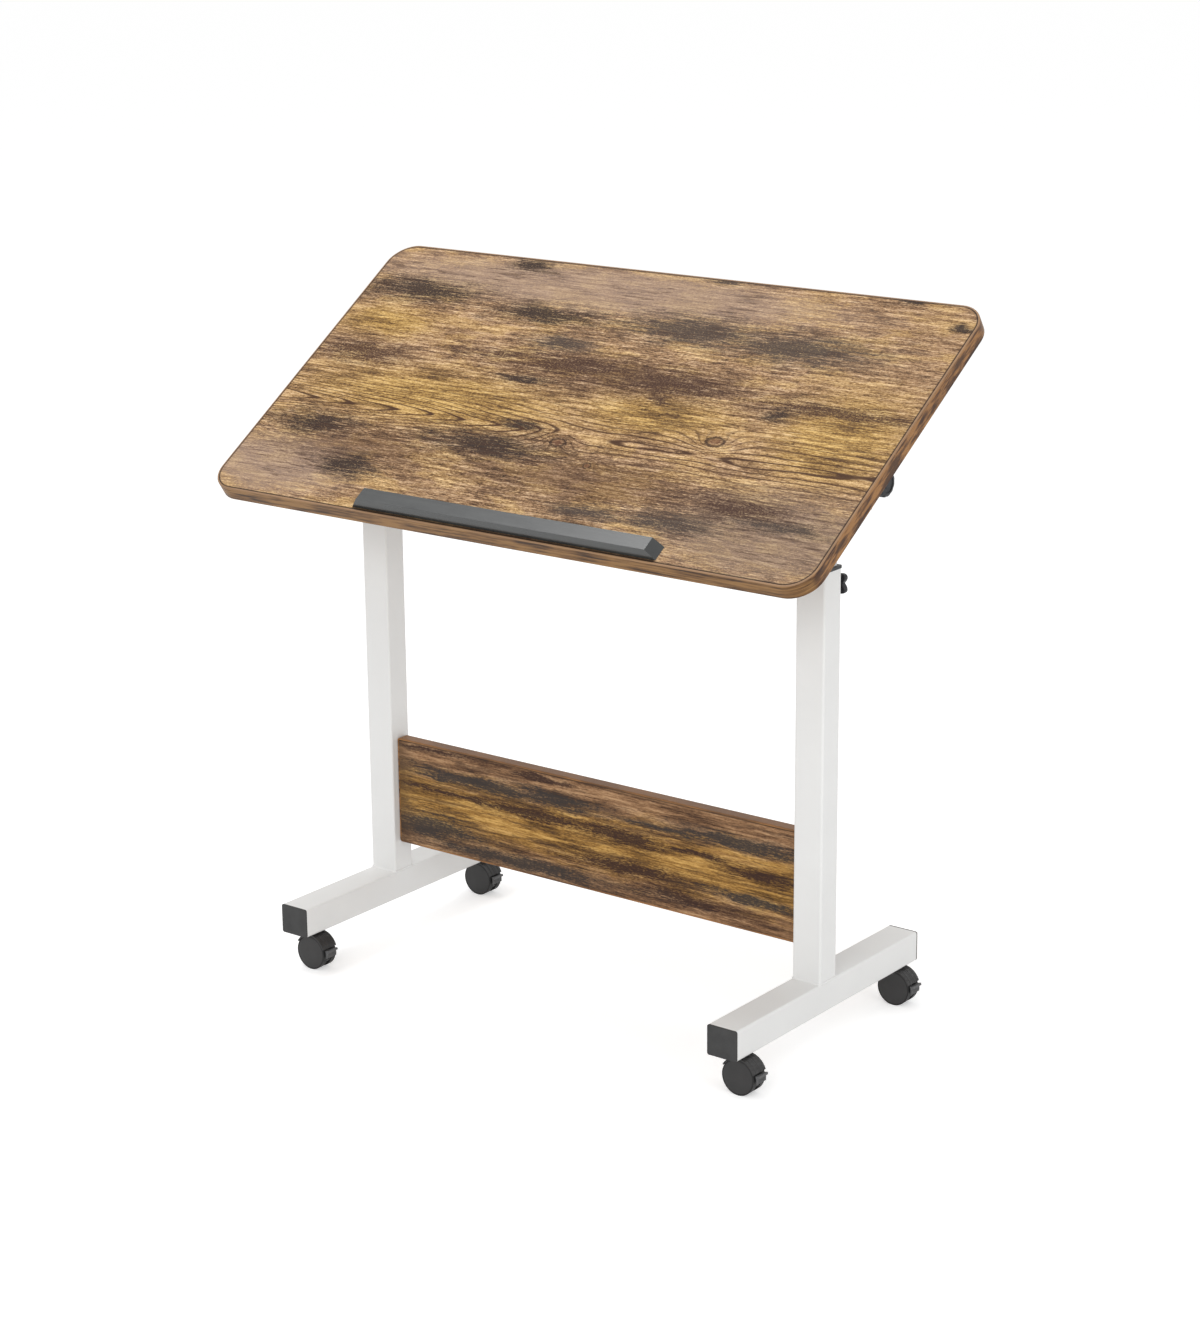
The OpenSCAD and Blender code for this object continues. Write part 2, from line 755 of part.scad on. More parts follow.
module caster_stems() {
    color(STEEL) for (c = CASTERS) translate([c[1], c[2], 0]) {
        translate([0, 0, swivel_pin_bottom]) cylinder(h = stem_end - swivel_pin_bottom, r = swivel_pin_d / 2);
        translate([0, 0, caster_h - stem_flange_t]) cylinder(h = stem_flange_t, r = neck_r);
        translate([0, 0, caster_h - over]) cylinder(h = stem_end - caster_h + over, r = stem_d / 2);
    }
}

// Drawn about the axle in the plane of X and Z, and given its width along Y
module about_axle(half_w) {
    translate([caster_trail, half_w, wheel_r]) rotate([90, 0, 0]) linear_extrude(2 * half_w) children();
}

module arc_shell(in_r, out_r, from_a, to_a) {
    far = 2 * out_r;
    intersection() {
        difference() {
            circle(out_r);
            circle(in_r);
        }
        polygon([[0, 0], for (i = [0 : 3]) far * dir(lerp(from_a, to_a, i / 3))]);
    }
}

module caster_body() {
    pocket_w = 2 * wheel_r;
    difference() {
        union() {
            about_axle(hood_half_w) arc_shell(hood_in_r, hood_out_r, hood_end, hood_start);
            about_axle(web_half_t) intersection() {
                circle(web_r);
                translate([-wheel_r, web_bottom - wheel_r]) square([2 * wheel_r, 2 * wheel_r]);
            }
            about_axle(web_half_t)
                arc_shell(web_r - over, hood_in_r + 0.5, hood_end + hood_lip, hood_start - hood_lip);
            difference() {
                translate([0, 0, web_bottom + wheel_r]) cylinder(h = neck_top - web_bottom - wheel_r, r = neck_r);
                for (s = [-1, 1]) translate([caster_trail, s * (web_half_t + wheel_r), wheel_r])
                    rotate([90, 0, 0]) cylinder(h = 2 * wheel_r, r = hood_in_r, center = true);
            }
        }
        translate([0, 0, swivel_pin_bottom - gap]) cylinder(h = caster_h, r = swivel_pin_d / 2 + run);
        about_axle(hood_half_w) circle(axle_d / 2);
        about_axle(hood_half_w) translate(brake_at) circle(brake_pin_d / 2 + run);
        about_axle(brake_pocket_half_t) translate(brake_at + [-brake_boss_r - 2 * gap, -wheel_r / 2])
            square([pocket_w, wheel_r / 2 + brake_boss_r + 2 * gap]);
    }
}

module caster_axle() {
    half = wheel_outer_y - wheel_disc_t - gap;
    about_axle(half) circle(axle_d / 2);
}

module wheel_section() {
    rim_t = 3.4;
    edge_r = 1.4;
    hub_r = axle_d / 2 + 3;
    dome_r = (wheel_r * wheel_r + wheel_dome * wheel_dome) / (2 * wheel_dome);
    difference() {
        union() {
            intersection() {
                translate([0, wheel_outer_y - dome_r]) circle(dome_r, $fn = 1440);
                translate([0, wheel_outer_y - wheel_disc_t - wheel_dome]) union() {
                    square([wheel_r - edge_r, wheel_disc_t + wheel_dome]);
                    square([wheel_r, wheel_disc_t]);
                }
            }
            translate([0, wheel_inner_y]) square([hub_r, wheel_w - wheel_dome - 1]);
            translate([wheel_r - rim_t, wheel_inner_y]) square([rim_t, wheel_w - wheel_dome - 1.5]);
        }
        translate([0, wheel_inner_y - over]) square([axle_d / 2 + run, wheel_w - wheel_disc_t + over]);
    }
}

// The wheel on the side s of its caster: -1 is the front one and 1 the rear one
module caster_wheel(s) {
    translate([caster_trail, 0, wheel_r]) rotate([-90, 0, 0]) mirror([0, 0, s < 0 ? 1 : 0])
        rotate_extrude() intersection() {
            wheel_section();
            square([wheel_r, wheel_outer_y]);
        }
}

module brake_lever() {
    pedal_low = -8;
    pedal_high = 15;
    tip_low = 9;
    link_at = 4;
    about_axle(brake_arm_half_t) difference() {
        link(brake_at, brake_boss_r, (pedal_in_r + 0.6) * dir(link_at), 1.4);
        circle(web_r - 12);
    }
    about_axle(web_half_t - 0.1) translate(brake_at) circle(brake_pin_d / 2);
    about_axle(brake_pedal_half_w) arc_shell(pedal_in_r, pedal_out_r, pedal_low, pedal_high);
    about_axle(brake_pedal_half_w) arc_shell(pedal_in_r, pedal_tip_r, tip_low, pedal_high);
}

module caster_piece(kind) {
    if (kind == "caster_body") color(BLACK) caster_body();
    if (kind == "caster_axle") color(STEEL) caster_axle();
    if (kind == "front_wheel") color(BLACK) caster_wheel(-1);
    if (kind == "rear_wheel") color(BLACK) caster_wheel(1);
    if (kind == "brake_lever") color(BLACK) brake_lever();
}

foot_end_caps();
column_collars();
modesty_panel();
panel_edge_band();
panel_tabs();
panel_screws();
clamp_nuts();
caster_nuts();
caster_stems();
tube_plugs();
pivot_bolts();
head_nuts();
desktop();
desktop_edge_band();
ledge();
ledge_screws();
quadrant_screws();
for (s = SIDES) {
    on_side(s[1]) foot_tube();
    on_side(s[1]) outer_column();
    on_side(s[1]) inner_tube();
    on_side(s[1]) tilt_head();
    on_side(s[1]) quadrant();
    on_side(s[1]) height_knob();
    on_side(s[1]) height_stud();
    on_side(s[1]) clamp_pad();
    on_side(s[1]) tilt_knob();
    on_side(s[1]) tilt_stud();
    on_side(s[1]) tilt_washer();
}
for (c = CASTERS) for (kind = CASTER_PIECES)
    translate([c[1], c[2], 0]) caster_piece(kind);
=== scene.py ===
"""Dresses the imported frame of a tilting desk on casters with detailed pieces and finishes."""

import json
import math

import bmesh
import bpy
from bpy.props import FloatProperty, FloatVectorProperty, IntProperty, PointerProperty
from mathutils import Matrix, Vector

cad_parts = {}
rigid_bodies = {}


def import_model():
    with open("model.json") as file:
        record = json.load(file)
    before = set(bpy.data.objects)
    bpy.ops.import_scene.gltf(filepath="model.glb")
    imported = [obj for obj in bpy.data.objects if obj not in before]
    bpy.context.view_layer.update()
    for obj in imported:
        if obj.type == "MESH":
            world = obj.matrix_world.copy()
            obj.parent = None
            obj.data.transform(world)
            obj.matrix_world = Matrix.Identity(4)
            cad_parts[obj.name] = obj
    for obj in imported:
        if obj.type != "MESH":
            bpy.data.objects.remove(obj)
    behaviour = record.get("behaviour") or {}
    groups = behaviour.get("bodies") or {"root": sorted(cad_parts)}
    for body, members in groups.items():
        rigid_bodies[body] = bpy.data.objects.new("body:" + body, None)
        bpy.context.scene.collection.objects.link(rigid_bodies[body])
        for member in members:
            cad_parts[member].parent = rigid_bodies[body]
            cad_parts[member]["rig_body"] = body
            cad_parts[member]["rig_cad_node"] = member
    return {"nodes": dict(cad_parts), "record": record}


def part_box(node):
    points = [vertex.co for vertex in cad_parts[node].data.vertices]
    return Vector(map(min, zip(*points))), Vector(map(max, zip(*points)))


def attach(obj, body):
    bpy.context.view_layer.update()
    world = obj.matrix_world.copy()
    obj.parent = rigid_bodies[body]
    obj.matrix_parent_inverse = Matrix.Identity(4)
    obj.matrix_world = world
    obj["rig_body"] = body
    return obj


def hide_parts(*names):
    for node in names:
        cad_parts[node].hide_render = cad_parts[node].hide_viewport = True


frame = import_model()

bl_info = {
    "name": "Tilting Desk on Casters",
    "version": (1, 0, 0),
    "blender": (4, 5, 0),
    "location": "View3D > Sidebar > Desk",
    "description": "Makes the boards, steelwork, knobs and casters of a mobile standing desk",
    "category": "Object",
}

MM = 0.001
SIDES = ("left", "right")
CORNERS = ("front_left", "front_right", "rear_left", "rear_right")

# The top's own frame starts at the middle of its lower front edge. Lengths in it are in mm.
TOP_TILT = math.radians(33.7)
TOP_ORIGIN = (0, -0.169446, 0.546044)
TOP_DEPTH = 410
TOP_HALF_W = 400
TOP_THICK = 18
TOP_CORNER = 32
BAND = 2
LEDGE_MIDDLE = 16
LEDGE_HALF_LEN = 202.5
LEDGE_SETBACK = 5

# The panel's lower edge above the floor, and its lengths in mm.
PANEL_FOOT = 0.114
PANEL_HIGH = 128
PANEL_LEFT = -279
PANEL_BACK_FROM = 1.5


def srgb(red, green, blue):
    """A screen colour, 0 to 255, as the shader's linear colour."""
    values = []
    for part in (red, green, blue):
        share = part / 255
        values.append(share / 12.92 if share <= 0.04045 else ((share + 0.055) / 1.055) ** 2.4)
    return (*values, 1.0)


def length_property(name, description, default, least, most):
    """A length that a user may change, given in mm."""
    return FloatProperty(name=name, description=description, default=default * MM,
                         min=least * MM, max=most * MM, unit="LENGTH", precision=5)


def count_property(name, description, default, least, most):
    """A number of like forms that a user may change."""
    return IntProperty(name=name, description=description, default=default, min=least, max=most)


def colour_property(name, description, *tone):
    """A colour that a user may change."""
    return FloatVectorProperty(name=name, description=description, default=(*tone, 1),
                               subtype="COLOR", size=4, min=0, max=1)


class DeskSizes(bpy.types.PropertyGroup):
    """Small sizes of the dressed pieces; the large ones come with the frame."""

    board_ease: length_property(
        "Board edge", "Rounding of the boards' own arrises", 0.3, 0.1, 1)
    steel_ease: length_property(
        "Steel edge", "Rounding that the powder coat gives a cut steel edge", 0.35, 0.1, 1)
    moulded_ease: length_property(
        "Moulded edge", "Rounding of a moulded plastic edge", 0.4, 0.1, 1)
    bead: length_property("Weld bead", "Half the width of a weld bead", 1.3, 0.5, 2.5)
    bead_pitch: length_property("Bead pitch", "Length of one ripple in a weld bead", 2.2, 1, 5)
    star_lobes: count_property("Star lobes", "Lobes on the knobs that lock the height", 6, 3, 8)
    tilt_flutes: count_property(
        "Grip flutes", "Flutes round the knobs that lock the tilt", 12, 6, 24)


class DeskColours(bpy.types.PropertyGroup):
    """Colours of the finishes."""

    powder: colour_property("Powder coat", "White powder coat on the steelwork", 0.77, 0.77, 0.76)
    moulded: colour_property(
        "Moulded plastic", "Black plastic of caps and collars", 0.036, 0.036, 0.036)
    knob: colour_property(
        "Knob plastic", "Deep black plastic of the clamp knobs", 0.015, 0.015, 0.018)
    nylon: colour_property("Nylon", "Dark nylon of the wheel covers and hoods", 0.03, 0.029, 0.029)
    # The tread's deeper black is partly its own colour and partly painted shade on the tyre edge.
    tread: colour_property("Tread", "Black tread of the wheels", 0.012, 0.012, 0.012)
    pedal: colour_property("Pedal", "Grey plastic of the brake levers", 0.09, 0.09, 0.092)
    ledge: colour_property("Ledge", "Satin plastic of the ledge", 0.030, 0.0325, 0.0325)
    zinc: colour_property("Zinc", "Plated screws, bolts and studs", 0.6, 0.6, 0.62)
    floor: colour_property("Floor", "Pale studio floor", 0.85, 0.85, 0.85)


def sizes():
    """The small sizes that a user may change."""
    return bpy.context.scene.desk_sizes


def colours():
    """The colours that a user may change."""
    return bpy.context.scene.desk_colours


class Value:
    """A socket of a node tree; arithmetic on it adds Math nodes."""

    def __init__(self, nodes, socket):
        self.nodes, self.socket = nodes, socket

    def __add__(self, other):
        return self.nodes.math("ADD", self, other)

    def __radd__(self, other):
        return self.nodes.math("ADD", other, self)

    def __sub__(self, other):
        return self.nodes.math("SUBTRACT", self, other)

    def __rsub__(self, other):
        return self.nodes.math("SUBTRACT", other, self)

    def __mul__(self, other):
        return self.nodes.math("MULTIPLY", self, other)

    def __rmul__(self, other):
        return self.nodes.math("MULTIPLY", other, self)

    def __truediv__(self, other):
        return self.nodes.math("DIVIDE", self, other)

    def __rtruediv__(self, other):
        return self.nodes.math("DIVIDE", other, self)


class Nodes:
    """A node tree being made, with short ways to add its nodes."""

    def __init__(self, tree):
        self.tree = tree

    def add(self, kind, settings=None, inputs=None):
        """Any node: its settings are made first, then its sockets are set or linked."""
        node = self.tree.nodes.new(kind)
        for key, setting in (settings or {}).items():
            if key == "stops":
                self.set_stops(node.color_ramp, setting)
            else:
                setattr(node, key, setting)
        for key, given in (inputs or {}).items():
            self.give(node.inputs[key], given)
        return node

    def value(self, kind, settings, inputs, out=0):
        """A new node's output as a value."""
        return Value(self, self.add(kind, settings, inputs).outputs[out])

    def set_stops(self, ramp, stops):
        """Gives a ramp its stops, each a position and a colour."""
        while len(ramp.elements) < len(stops):
            ramp.elements.new(0.5)
        for element, (position, colour) in zip(ramp.elements, stops):
            element.position = position
            element.color = colour

    def give(self, socket, given):
        """Links a socket to a value or another socket, or sets it to a constant."""
        if isinstance(given, Value):
            given = given.socket
        if isinstance(given, bpy.types.NodeSocket):
            self.tree.links.new(given, socket)
        else:
            socket.default_value = given

    def math(self, operation, *values):
        """One Math node."""
        return self.value("ShaderNodeMath", {"operation": operation}, dict(enumerate(values)))

    def vector(self, operation, *values):
        """One Vector Math node; only LENGTH gives a number."""
        return self.value("ShaderNodeVectorMath", {"operation": operation},
                          dict(enumerate(values)), "Value" if operation == "LENGTH" else "Vector")

    def join(self, x, y, z=0.0):
        """A vector from its parts."""
        return self.value("ShaderNodeCombineXYZ", None, {0: x, 1: y, 2: z})

    def split(self, vector):
        """The three parts of a vector."""
        node = self.add("ShaderNodeSeparateXYZ", None, {0: vector})
        return [Value(self, socket) for socket in node.outputs]

    def noise(self, at, size, detail=2.0, roughness=0.5, out=0):
        """Noise whose grains are about size long, in the units of at; out 1 is its colour."""
        at = self.vector("MULTIPLY", at, tuple(1 / part for part in size))
        return self.value("ShaderNodeTexNoise", None, {
            "Vector": at, "Scale": 1.0, "Detail": detail, "Roughness": roughness}, out)

    def step(self, value, low, high, start=0.0, end=1.0):
        """A smooth step from start to end while value goes from low to high."""
        return self.value("ShaderNodeMapRange", {"interpolation_type": "SMOOTHSTEP"}, {
            "Value": value, "From Min": low, "From Max": high, "To Min": start, "To Max": end})

    def ramp(self, value, stops):
        """A colour that goes through the stops as value rises."""
        return self.value("ShaderNodeValToRGB", {"stops": stops}, {0: value})

    def shades(self, value, positions, *tints):
        """A ramp through screen colours, each 0 to 255, at the positions."""
        return self.ramp(value, [(at, srgb(*tint)) for at, tint in zip(positions, tints)])

    def mix(self, share, first, second, blend="MIX"):
        """The first colour with a share of the second in it."""
        return self.value("ShaderNodeMix", {"data_type": "RGBA", "blend_type": blend},
                          {0: share, 6: first, 7: second}, 2)

    def layers(self, colour, *layers):
        """A colour under layers, each a share and a screen colour."""
        for share, *tint in layers:
            colour = self.mix(share, colour, srgb(*tint))
        return colour

    def seen(self):
        """1 for what the camera, a reflection or a clear piece shows, and 0 for light."""
        path = self.add("ShaderNodeLightPath").outputs
        seen = self.math("MAXIMUM", path["Is Camera Ray"], path["Is Glossy Ray"])
        return self.math("MAXIMUM", seen, path["Is Transmission Ray"])


class Finish(Nodes):
    """A material being made."""

    def __init__(self, name, constants=None):
        self.material = bpy.data.materials.new(name)
        self.material.use_nodes = True
        super().__init__(self.material.node_tree)
        self.shader = self.tree.nodes["Principled BSDF"]
        for socket, constant in (constants or {}).items():
            self.shader.inputs[socket].default_value = constant
        self.place = self.add("ShaderNodeTexCoord").outputs["Object"]

    def mapped(self, location=(0, 0, 0), rotation=(0, 0, 0)):
        """Object coordinates in millimetres from a place, turned into a piece's own frame."""
        return self.value("ShaderNodeMapping", {"vector_type": "TEXTURE"}, {
            "Vector": self.place, "Location": location, "Rotation": rotation,
            "Scale": (MM, MM, MM)})

    def feed(self, **inputs):
        """Links or sets the shader's own sockets: Base_Color=... feeds Base Color."""
        for key, given in inputs.items():
            self.give(self.shader.inputs[key.replace("_", " ")], given)

    def bump(self, height, depth, strength):
        """Relief whose heights go from 0 to 1 over a depth in millimetres."""
        node = self.add("ShaderNodeBump", None, {
            "Height": height, "Distance": depth * MM, "Strength": strength})
        self.feed(Normal=node.outputs[0])

    def coat(self, paint, shade, roughness, relief, depth, strength):
        """Feeds a plain finish: a user's paint in light and dark shades, and its relief."""
        paint = tuple(getattr(colours(), paint))
        self.feed(Base_Color=self.mix(1.0, paint, shade, "MULTIPLY"), Roughness=roughness)
        self.bump(relief, depth, strength)
        return self.material


# Ovals of the print and of painted sheen: the middle's x and y, half the length and half the
# width, in mm.
DARK_PATCHES = (
    (-129, 324, 60, 12), (-82, 121, 66, 14), (-319, 116, 46, 13), (-232, 62, 30, 14),
    (-52, 157, 22, 6), (-93, 222, 25, 5), (-191, 397, 25, 8), (244, 221, 14, 8),
    (-322, 339, 72, 15), (311, 408, 17, 4), (385, 377, 10, 4),
)
GREY_PATCHES = (
    (76, 325, 80, 19), (212, 318, 80, 20), (102, 51, 34, 8), (203, 56, 44, 11),
    (329, 72, 40, 6), (-78, 284, 36, 10), (77, 406, 19, 4),
)
PURPLE_PATCHES = (
    (-332, 232, 58, 15), (-203, 251, 16, 7), (-150, 256, 40, 6), (-40, 252, 70, 17),
    (90, 246, 80, 17), (300, 236, 90, 8), (273, 89, 54, 12), (93, 222, 14, 6),
)
BROWN_ZONES = ((20, 246, 175, 34), (70, 92, 210, 40), (-240, 90, 120, 36))
# The mauve and dusky ovals are painted sheen, a greyish glossy reflection on the top.
MAUVE_SHEEN_ZONES = ((-330, 50, 100, 42), (-90, 372, 300, 34))
DUSKY_SHEEN_ZONES = ((320, 60, 120, 56),)
YELLOW_ZONES = ((-190, 178, 165, 38), (104, 196, 90, 27), (330, 200, 70, 60),
                (-330, 284, 60, 22))
PANEL_GREYS = (
    (-160, 93, 90, 6), (-50, 95, 50, 7), (100, 92, 60, 3), (210, 96, 75, 6),
    (225, 33, 50, 4), (-235, 25, 60, 12), (-110, 10, 110, 7),
)
PANEL_BROWNS = (
    (-190, 72, 90, 3), (-75, 72, 60, 6), (45, 72, 45, 8), (60, 37, 60, 7), (150, 71, 40, 3),
    (240, 64, 40, 5), (140, 16, 50, 6), (-230, 119, 60, 2), (-65, 118, 25, 3),
)
KNOTS = ((8, 140, 10, 6), (193, 173, 11, 7), (63, 114, 5, 4))
# The heart line of the arches, the distance between rings, and where the arches end.
GRAIN_AXIS = 152.0
GRAIN_PITCH = 6.5
ARCH_END = 60.0
# How far the print is shifted, so that a board's other face shows another stretch of it.
UNDER_SHIFT = 470.0
BACK_SHIFT = (310.0, 260.0)
# Where the tones of the woods turn from one shade to the next: noise stays near a half.
TOP_STOPS = (0.42, 0.467, 0.515, 0.575)
PANEL_STOPS = (0.41, 0.465, 0.515, 0.58)
BAND_STOPS = (0.42, 0.48, 0.55)
CUT_STOPS = (0.43, 0.5, 0.57)


def nearest(f, place, ovals):
    """Distance to the nearest oval's middle, as a share of that oval's size."""
    least = None
    for x, y, half_l, half_w in ovals:
        local = f.vector("MULTIPLY_ADD", place, (1 / half_l, 1 / half_w, 0.0),
                         (-x / half_l, -y / half_w, 0.0))
        away = f.vector("LENGTH", local)
        least = away if least is None else f.math("MINIMUM", least, away)
    return least


# In the recipes, a noise's size is in mm along and across the grain.
def wander(f, flat, size, reach):
    """The print's plane with its points moved by noise, so that outlines wander."""
    drift = f.noise(flat, size, 3, out=1)
    drift = f.vector("SUBTRACT", drift, (0.5, 0.5, 0.5))
    return f.vector("MULTIPLY_ADD", drift, reach, flat)


def stained(f, colour, away, share, tint):
    """A dark patch of a colour: washed out at its ends, and full in its core."""
    wash = f.step(away, 0.8, 1.75, 0.5, 0.0)
    core = f.step(away, 0.5, 0.95, 0.92, 0.0)
    return f.mix(core * share, f.mix(wash * share, colour, tint), tint)


def grain_lines(f, x, y, flat, knot_way):
    """Thin dark ring lines: pointed arches that open to the left, and rings about the knots."""
    across = y - GRAIN_AXIS
    fold = f.math("SQRT", across * across + 20.0)
    heart = 1.0 / (1.0 + across * across / 1000.0)
    rise = 4.5 / (1.0 + knot_way * knot_way * 0.35)
    along = f.math("MINIMUM", x, ARCH_END) / 52.0
    rings = fold / GRAIN_PITCH + along * heart + rise
    rings = rings + f.noise(flat, (150, 24, 1), 2, 0.4) * 2.6
    off = f.math("ABSOLUTE", f.math("FRACT", rings) - 0.5)
    return f.step(off, 0.05, 0.18, 1.0, 0.0) * (heart * 0.85 + 0.15)


def board_rim(f, x, y):
    """A mask along the top's outline, just inside its banding."""
    half_d = TOP_DEPTH / 2
    inner = TOP_CORNER - BAND
    from_middle = f.vector("ABSOLUTE", f.join(x, y - half_d))
    straight = (TOP_HALF_W - TOP_CORNER, half_d - TOP_CORNER, 0)
    past = f.vector("MAXIMUM", f.vector("SUBTRACT", from_middle, straight), (0, 0, 0))
    return f.step(f.vector("LENGTH", past), inner - 2.2, inner - 0.9)


def ledge_contact_shadow(f, x, y, under):
    """A mask on the upper face in front of the ledge, where the ledge's contact shadow is painted.
    """
    end = f.step(f.math("ABSOLUTE", x - LEDGE_MIDDLE), LEDGE_HALF_LEN - 3.0,
                 LEDGE_HALF_LEN + 1.0, 1.0, 0.0)
    return f.step(y, LEDGE_SETBACK, LEDGE_SETBACK + 1.0, 1.0, 0.0) * end * (1 - under)


def top_wood():
    """Rustic laminate on the top: golden brown with dark and grey patches, arches and knots."""
    f = Finish("rustic wood laminate", {"Specular IOR Level": 0.08})
    x, y, z = f.split(f.mapped(TOP_ORIGIN, (TOP_TILT, 0, 0)))
    under = f.math("LESS_THAN", z, TOP_THICK / 2)
    flat = f.join(x, y + under * UNDER_SHIFT)
    warped = wander(f, flat, (30, 10, 1), (52, 18, 0))
    streak = f.noise(flat, (62, 4.6, 1), 5, 0.66)
    fibre = f.noise(flat, (11, 1.0, 1), 3, 0.65)
    cloud = f.noise(warped, (80, 26, 1), 3, 0.6)
    fleck = f.noise(flat, (3.6, 1.5, 1), 4, 0.8)
    smear = f.noise(flat, (46, 3.2, 3), 4, 0.7)
    grit = f.noise(flat, (2.6, 1.2, 7), 2, 0.7)

    tone = streak * 0.3 + fibre * 0.28 + cloud * 0.12 + fleck * 0.3
    colour = f.shades(tone, TOP_STOPS, (62, 44, 32), (130, 98, 72), (182, 146, 113),
                      (232, 200, 168))
    golden = f.shades(tone, TOP_STOPS, (66, 46, 22), (134, 100, 50), (186, 147, 79),
                      (232, 195, 122))
    feather = (smear - 0.5) * 2.8 + (fleck - 0.5) * 1.4 + (fibre - 0.5) * 1.8
    zone = f.step(nearest(f, warped, YELLOW_ZONES) + feather * 0.6, 0.4, 1.9, 1.0, 0.0)
    zone = f.math("MAXIMUM", zone, f.step(cloud, 0.44, 0.6) * 0.5)
    colour = f.mix(zone * 0.75 + 0.15, colour, golden)
    # Painted sheen: mauve and dusky grey ovals that stand in for a glossy reflection on the top.
    for zones, tint in ((MAUVE_SHEEN_ZONES, (162, 139, 124)), (DUSKY_SHEEN_ZONES, (134, 115, 102))):
        zone = f.step(nearest(f, warped, zones) + feather * 0.4, 0.6, 1.5, 1.0, 0.0)
        colour = f.layers(colour, (zone * 0.62, *tint))
    zone = f.step(nearest(f, warped, BROWN_ZONES) + feather * 1.1, 0.4, 1.5, 1.0, 0.0)
    colour = f.mix(zone, colour, (0.55, 0.51, 0.5, 1), "MULTIPLY")

    speckle = f.step(grit, 0.5, 0.7, 1.0, 0.55)
    for ovals, spread, share, tint in (
            (PURPLE_PATCHES, 0.85, f.step(grit, 0.47, 0.6, 0.95, 0.35), srgb(66, 42, 33)),
            (GREY_PATCHES, 0.82, speckle, srgb(74, 62, 55)),
            (DARK_PATCHES, 0.8, speckle, srgb(46, 34, 30))):
        away = nearest(f, warped, ovals) * spread + feather
        colour = stained(f, colour, away, share, tint)
    stray = f.step(smear * 0.6 + cloud * 0.4, 0.4, 0.46, 1.0, 0.0)
    pit = f.step(grit, 0.3, 0.38, 1.0, 0.0)
    spark = f.step(grit, 0.62, 0.7)
    knot_way = nearest(f, flat, KNOTS) + (fleck - 0.5) * 1.1
    line = grain_lines(f, x, y, flat, knot_way)
    knot = f.step(knot_way, 0.5, 0.8, 1.0, 0.0)
    ring = f.step(f.math("ABSOLUTE", knot_way - 0.95), 0.08, 0.3, 1.0, 0.0)
    # The last layer is the ledge's painted contact shadow on the top.
    colour = f.layers(
        colour, (stray * 0.55, 72, 48, 34), (pit * 0.6, 60, 42, 30),
        (spark * 0.45, 226, 192, 142), (line * 0.95, 66, 40, 24), (knot * 0.62, 108, 70, 50),
        (ring * 0.85, 54, 34, 24), (board_rim(f, x, y) * 0.9, 48, 34, 26),
        (ledge_contact_shadow(f, x, y, under) * 0.85, 44, 34, 28))
    f.feed(Base_Color=colour, Roughness=0.5 - streak * 0.14)
    f.bump(fibre * 0.4 - line * 0.5 - pit * 0.4, 0.12, 0.6)
    return f.material


def panel_wood():
    """The modesty panel: yellow in the middle, with long dark grey streaks."""
    f = Finish("streaked wood laminate", {"Specular IOR Level": 0.12})
    x, y, z = f.split(f.mapped((0, 0, PANEL_FOOT + BAND * MM)))
    board_high = PANEL_HIGH - 2 * BAND
    back = f.math("GREATER_THAN", y, PANEL_BACK_FROM)
    flat = f.join(x + back * BACK_SHIFT[0], z + back * BACK_SHIFT[1])
    warped = wander(f, flat, (34, 10, 1), (60, 12, 0))
    streak = f.noise(flat, (90, 5.2, 1), 5, 0.66)
    fibre = f.noise(flat, (16, 1.1, 1), 3, 0.65)
    smear = f.noise(warped, (56, 7, 1), 4, 0.6)
    cloud = f.noise(warped, (100, 18, 1), 3)
    fleck = f.noise(flat, (5, 1.5, 1), 3, 0.75)
    tone = streak * 0.42 + fibre * 0.16 + cloud * 0.26 + fleck * 0.16
    colour = f.shades(tone, PANEL_STOPS, (60, 40, 28), (110, 80, 56), (148, 112, 80),
                      (188, 150, 112))
    golden = f.shades(tone, PANEL_STOPS, (64, 44, 20), (124, 90, 42), (172, 129, 62),
                      (214, 170, 94))
    off_middle = f.math("ABSOLUTE", z - 58.0) + (smear - 0.5) * 60.0
    colour = f.mix(f.step(off_middle, 12.0, 50.0, 1.0, 0.0) * 0.85, colour, golden)
    long = f.noise(warped, (130, 6, 2), 4, 0.62)
    speckle = f.step(fleck, 0.46, 0.66, 1.0, 0.7)
    colour = f.layers(colour, (f.step(long, 0.53, 0.6) * speckle * 0.55, 66, 48, 38))
    feather = (long - 0.5) * 2.4 + (fleck - 0.5) * 1.4 + (fibre - 0.5) * 1.8
    for ovals, tint in ((PANEL_BROWNS, srgb(54, 34, 28)), (PANEL_GREYS, srgb(56, 50, 47))):
        colour = stained(f, colour, nearest(f, warped, ovals) * 0.75 + feather, speckle, tint)
    pit = f.step(fleck, 0.27, 0.37, 1.0, 0.0)
    shaded_end = f.step(x, PANEL_LEFT, PANEL_LEFT + 34.0, 0.5, 0.0)
    rim = f.step(z, board_high - 1.4, board_high - 0.6)
    colour = f.layers(colour, (pit * 0.6, 48, 32, 22), (shaded_end, 78, 60, 46),
                      (rim * 0.75, 50, 38, 30))
    f.feed(Base_Color=colour, Roughness=0.5 - streak * 0.14)
    f.bump(fibre * 0.5 + streak * 0.3, 0.12, 0.6)
    return f.material


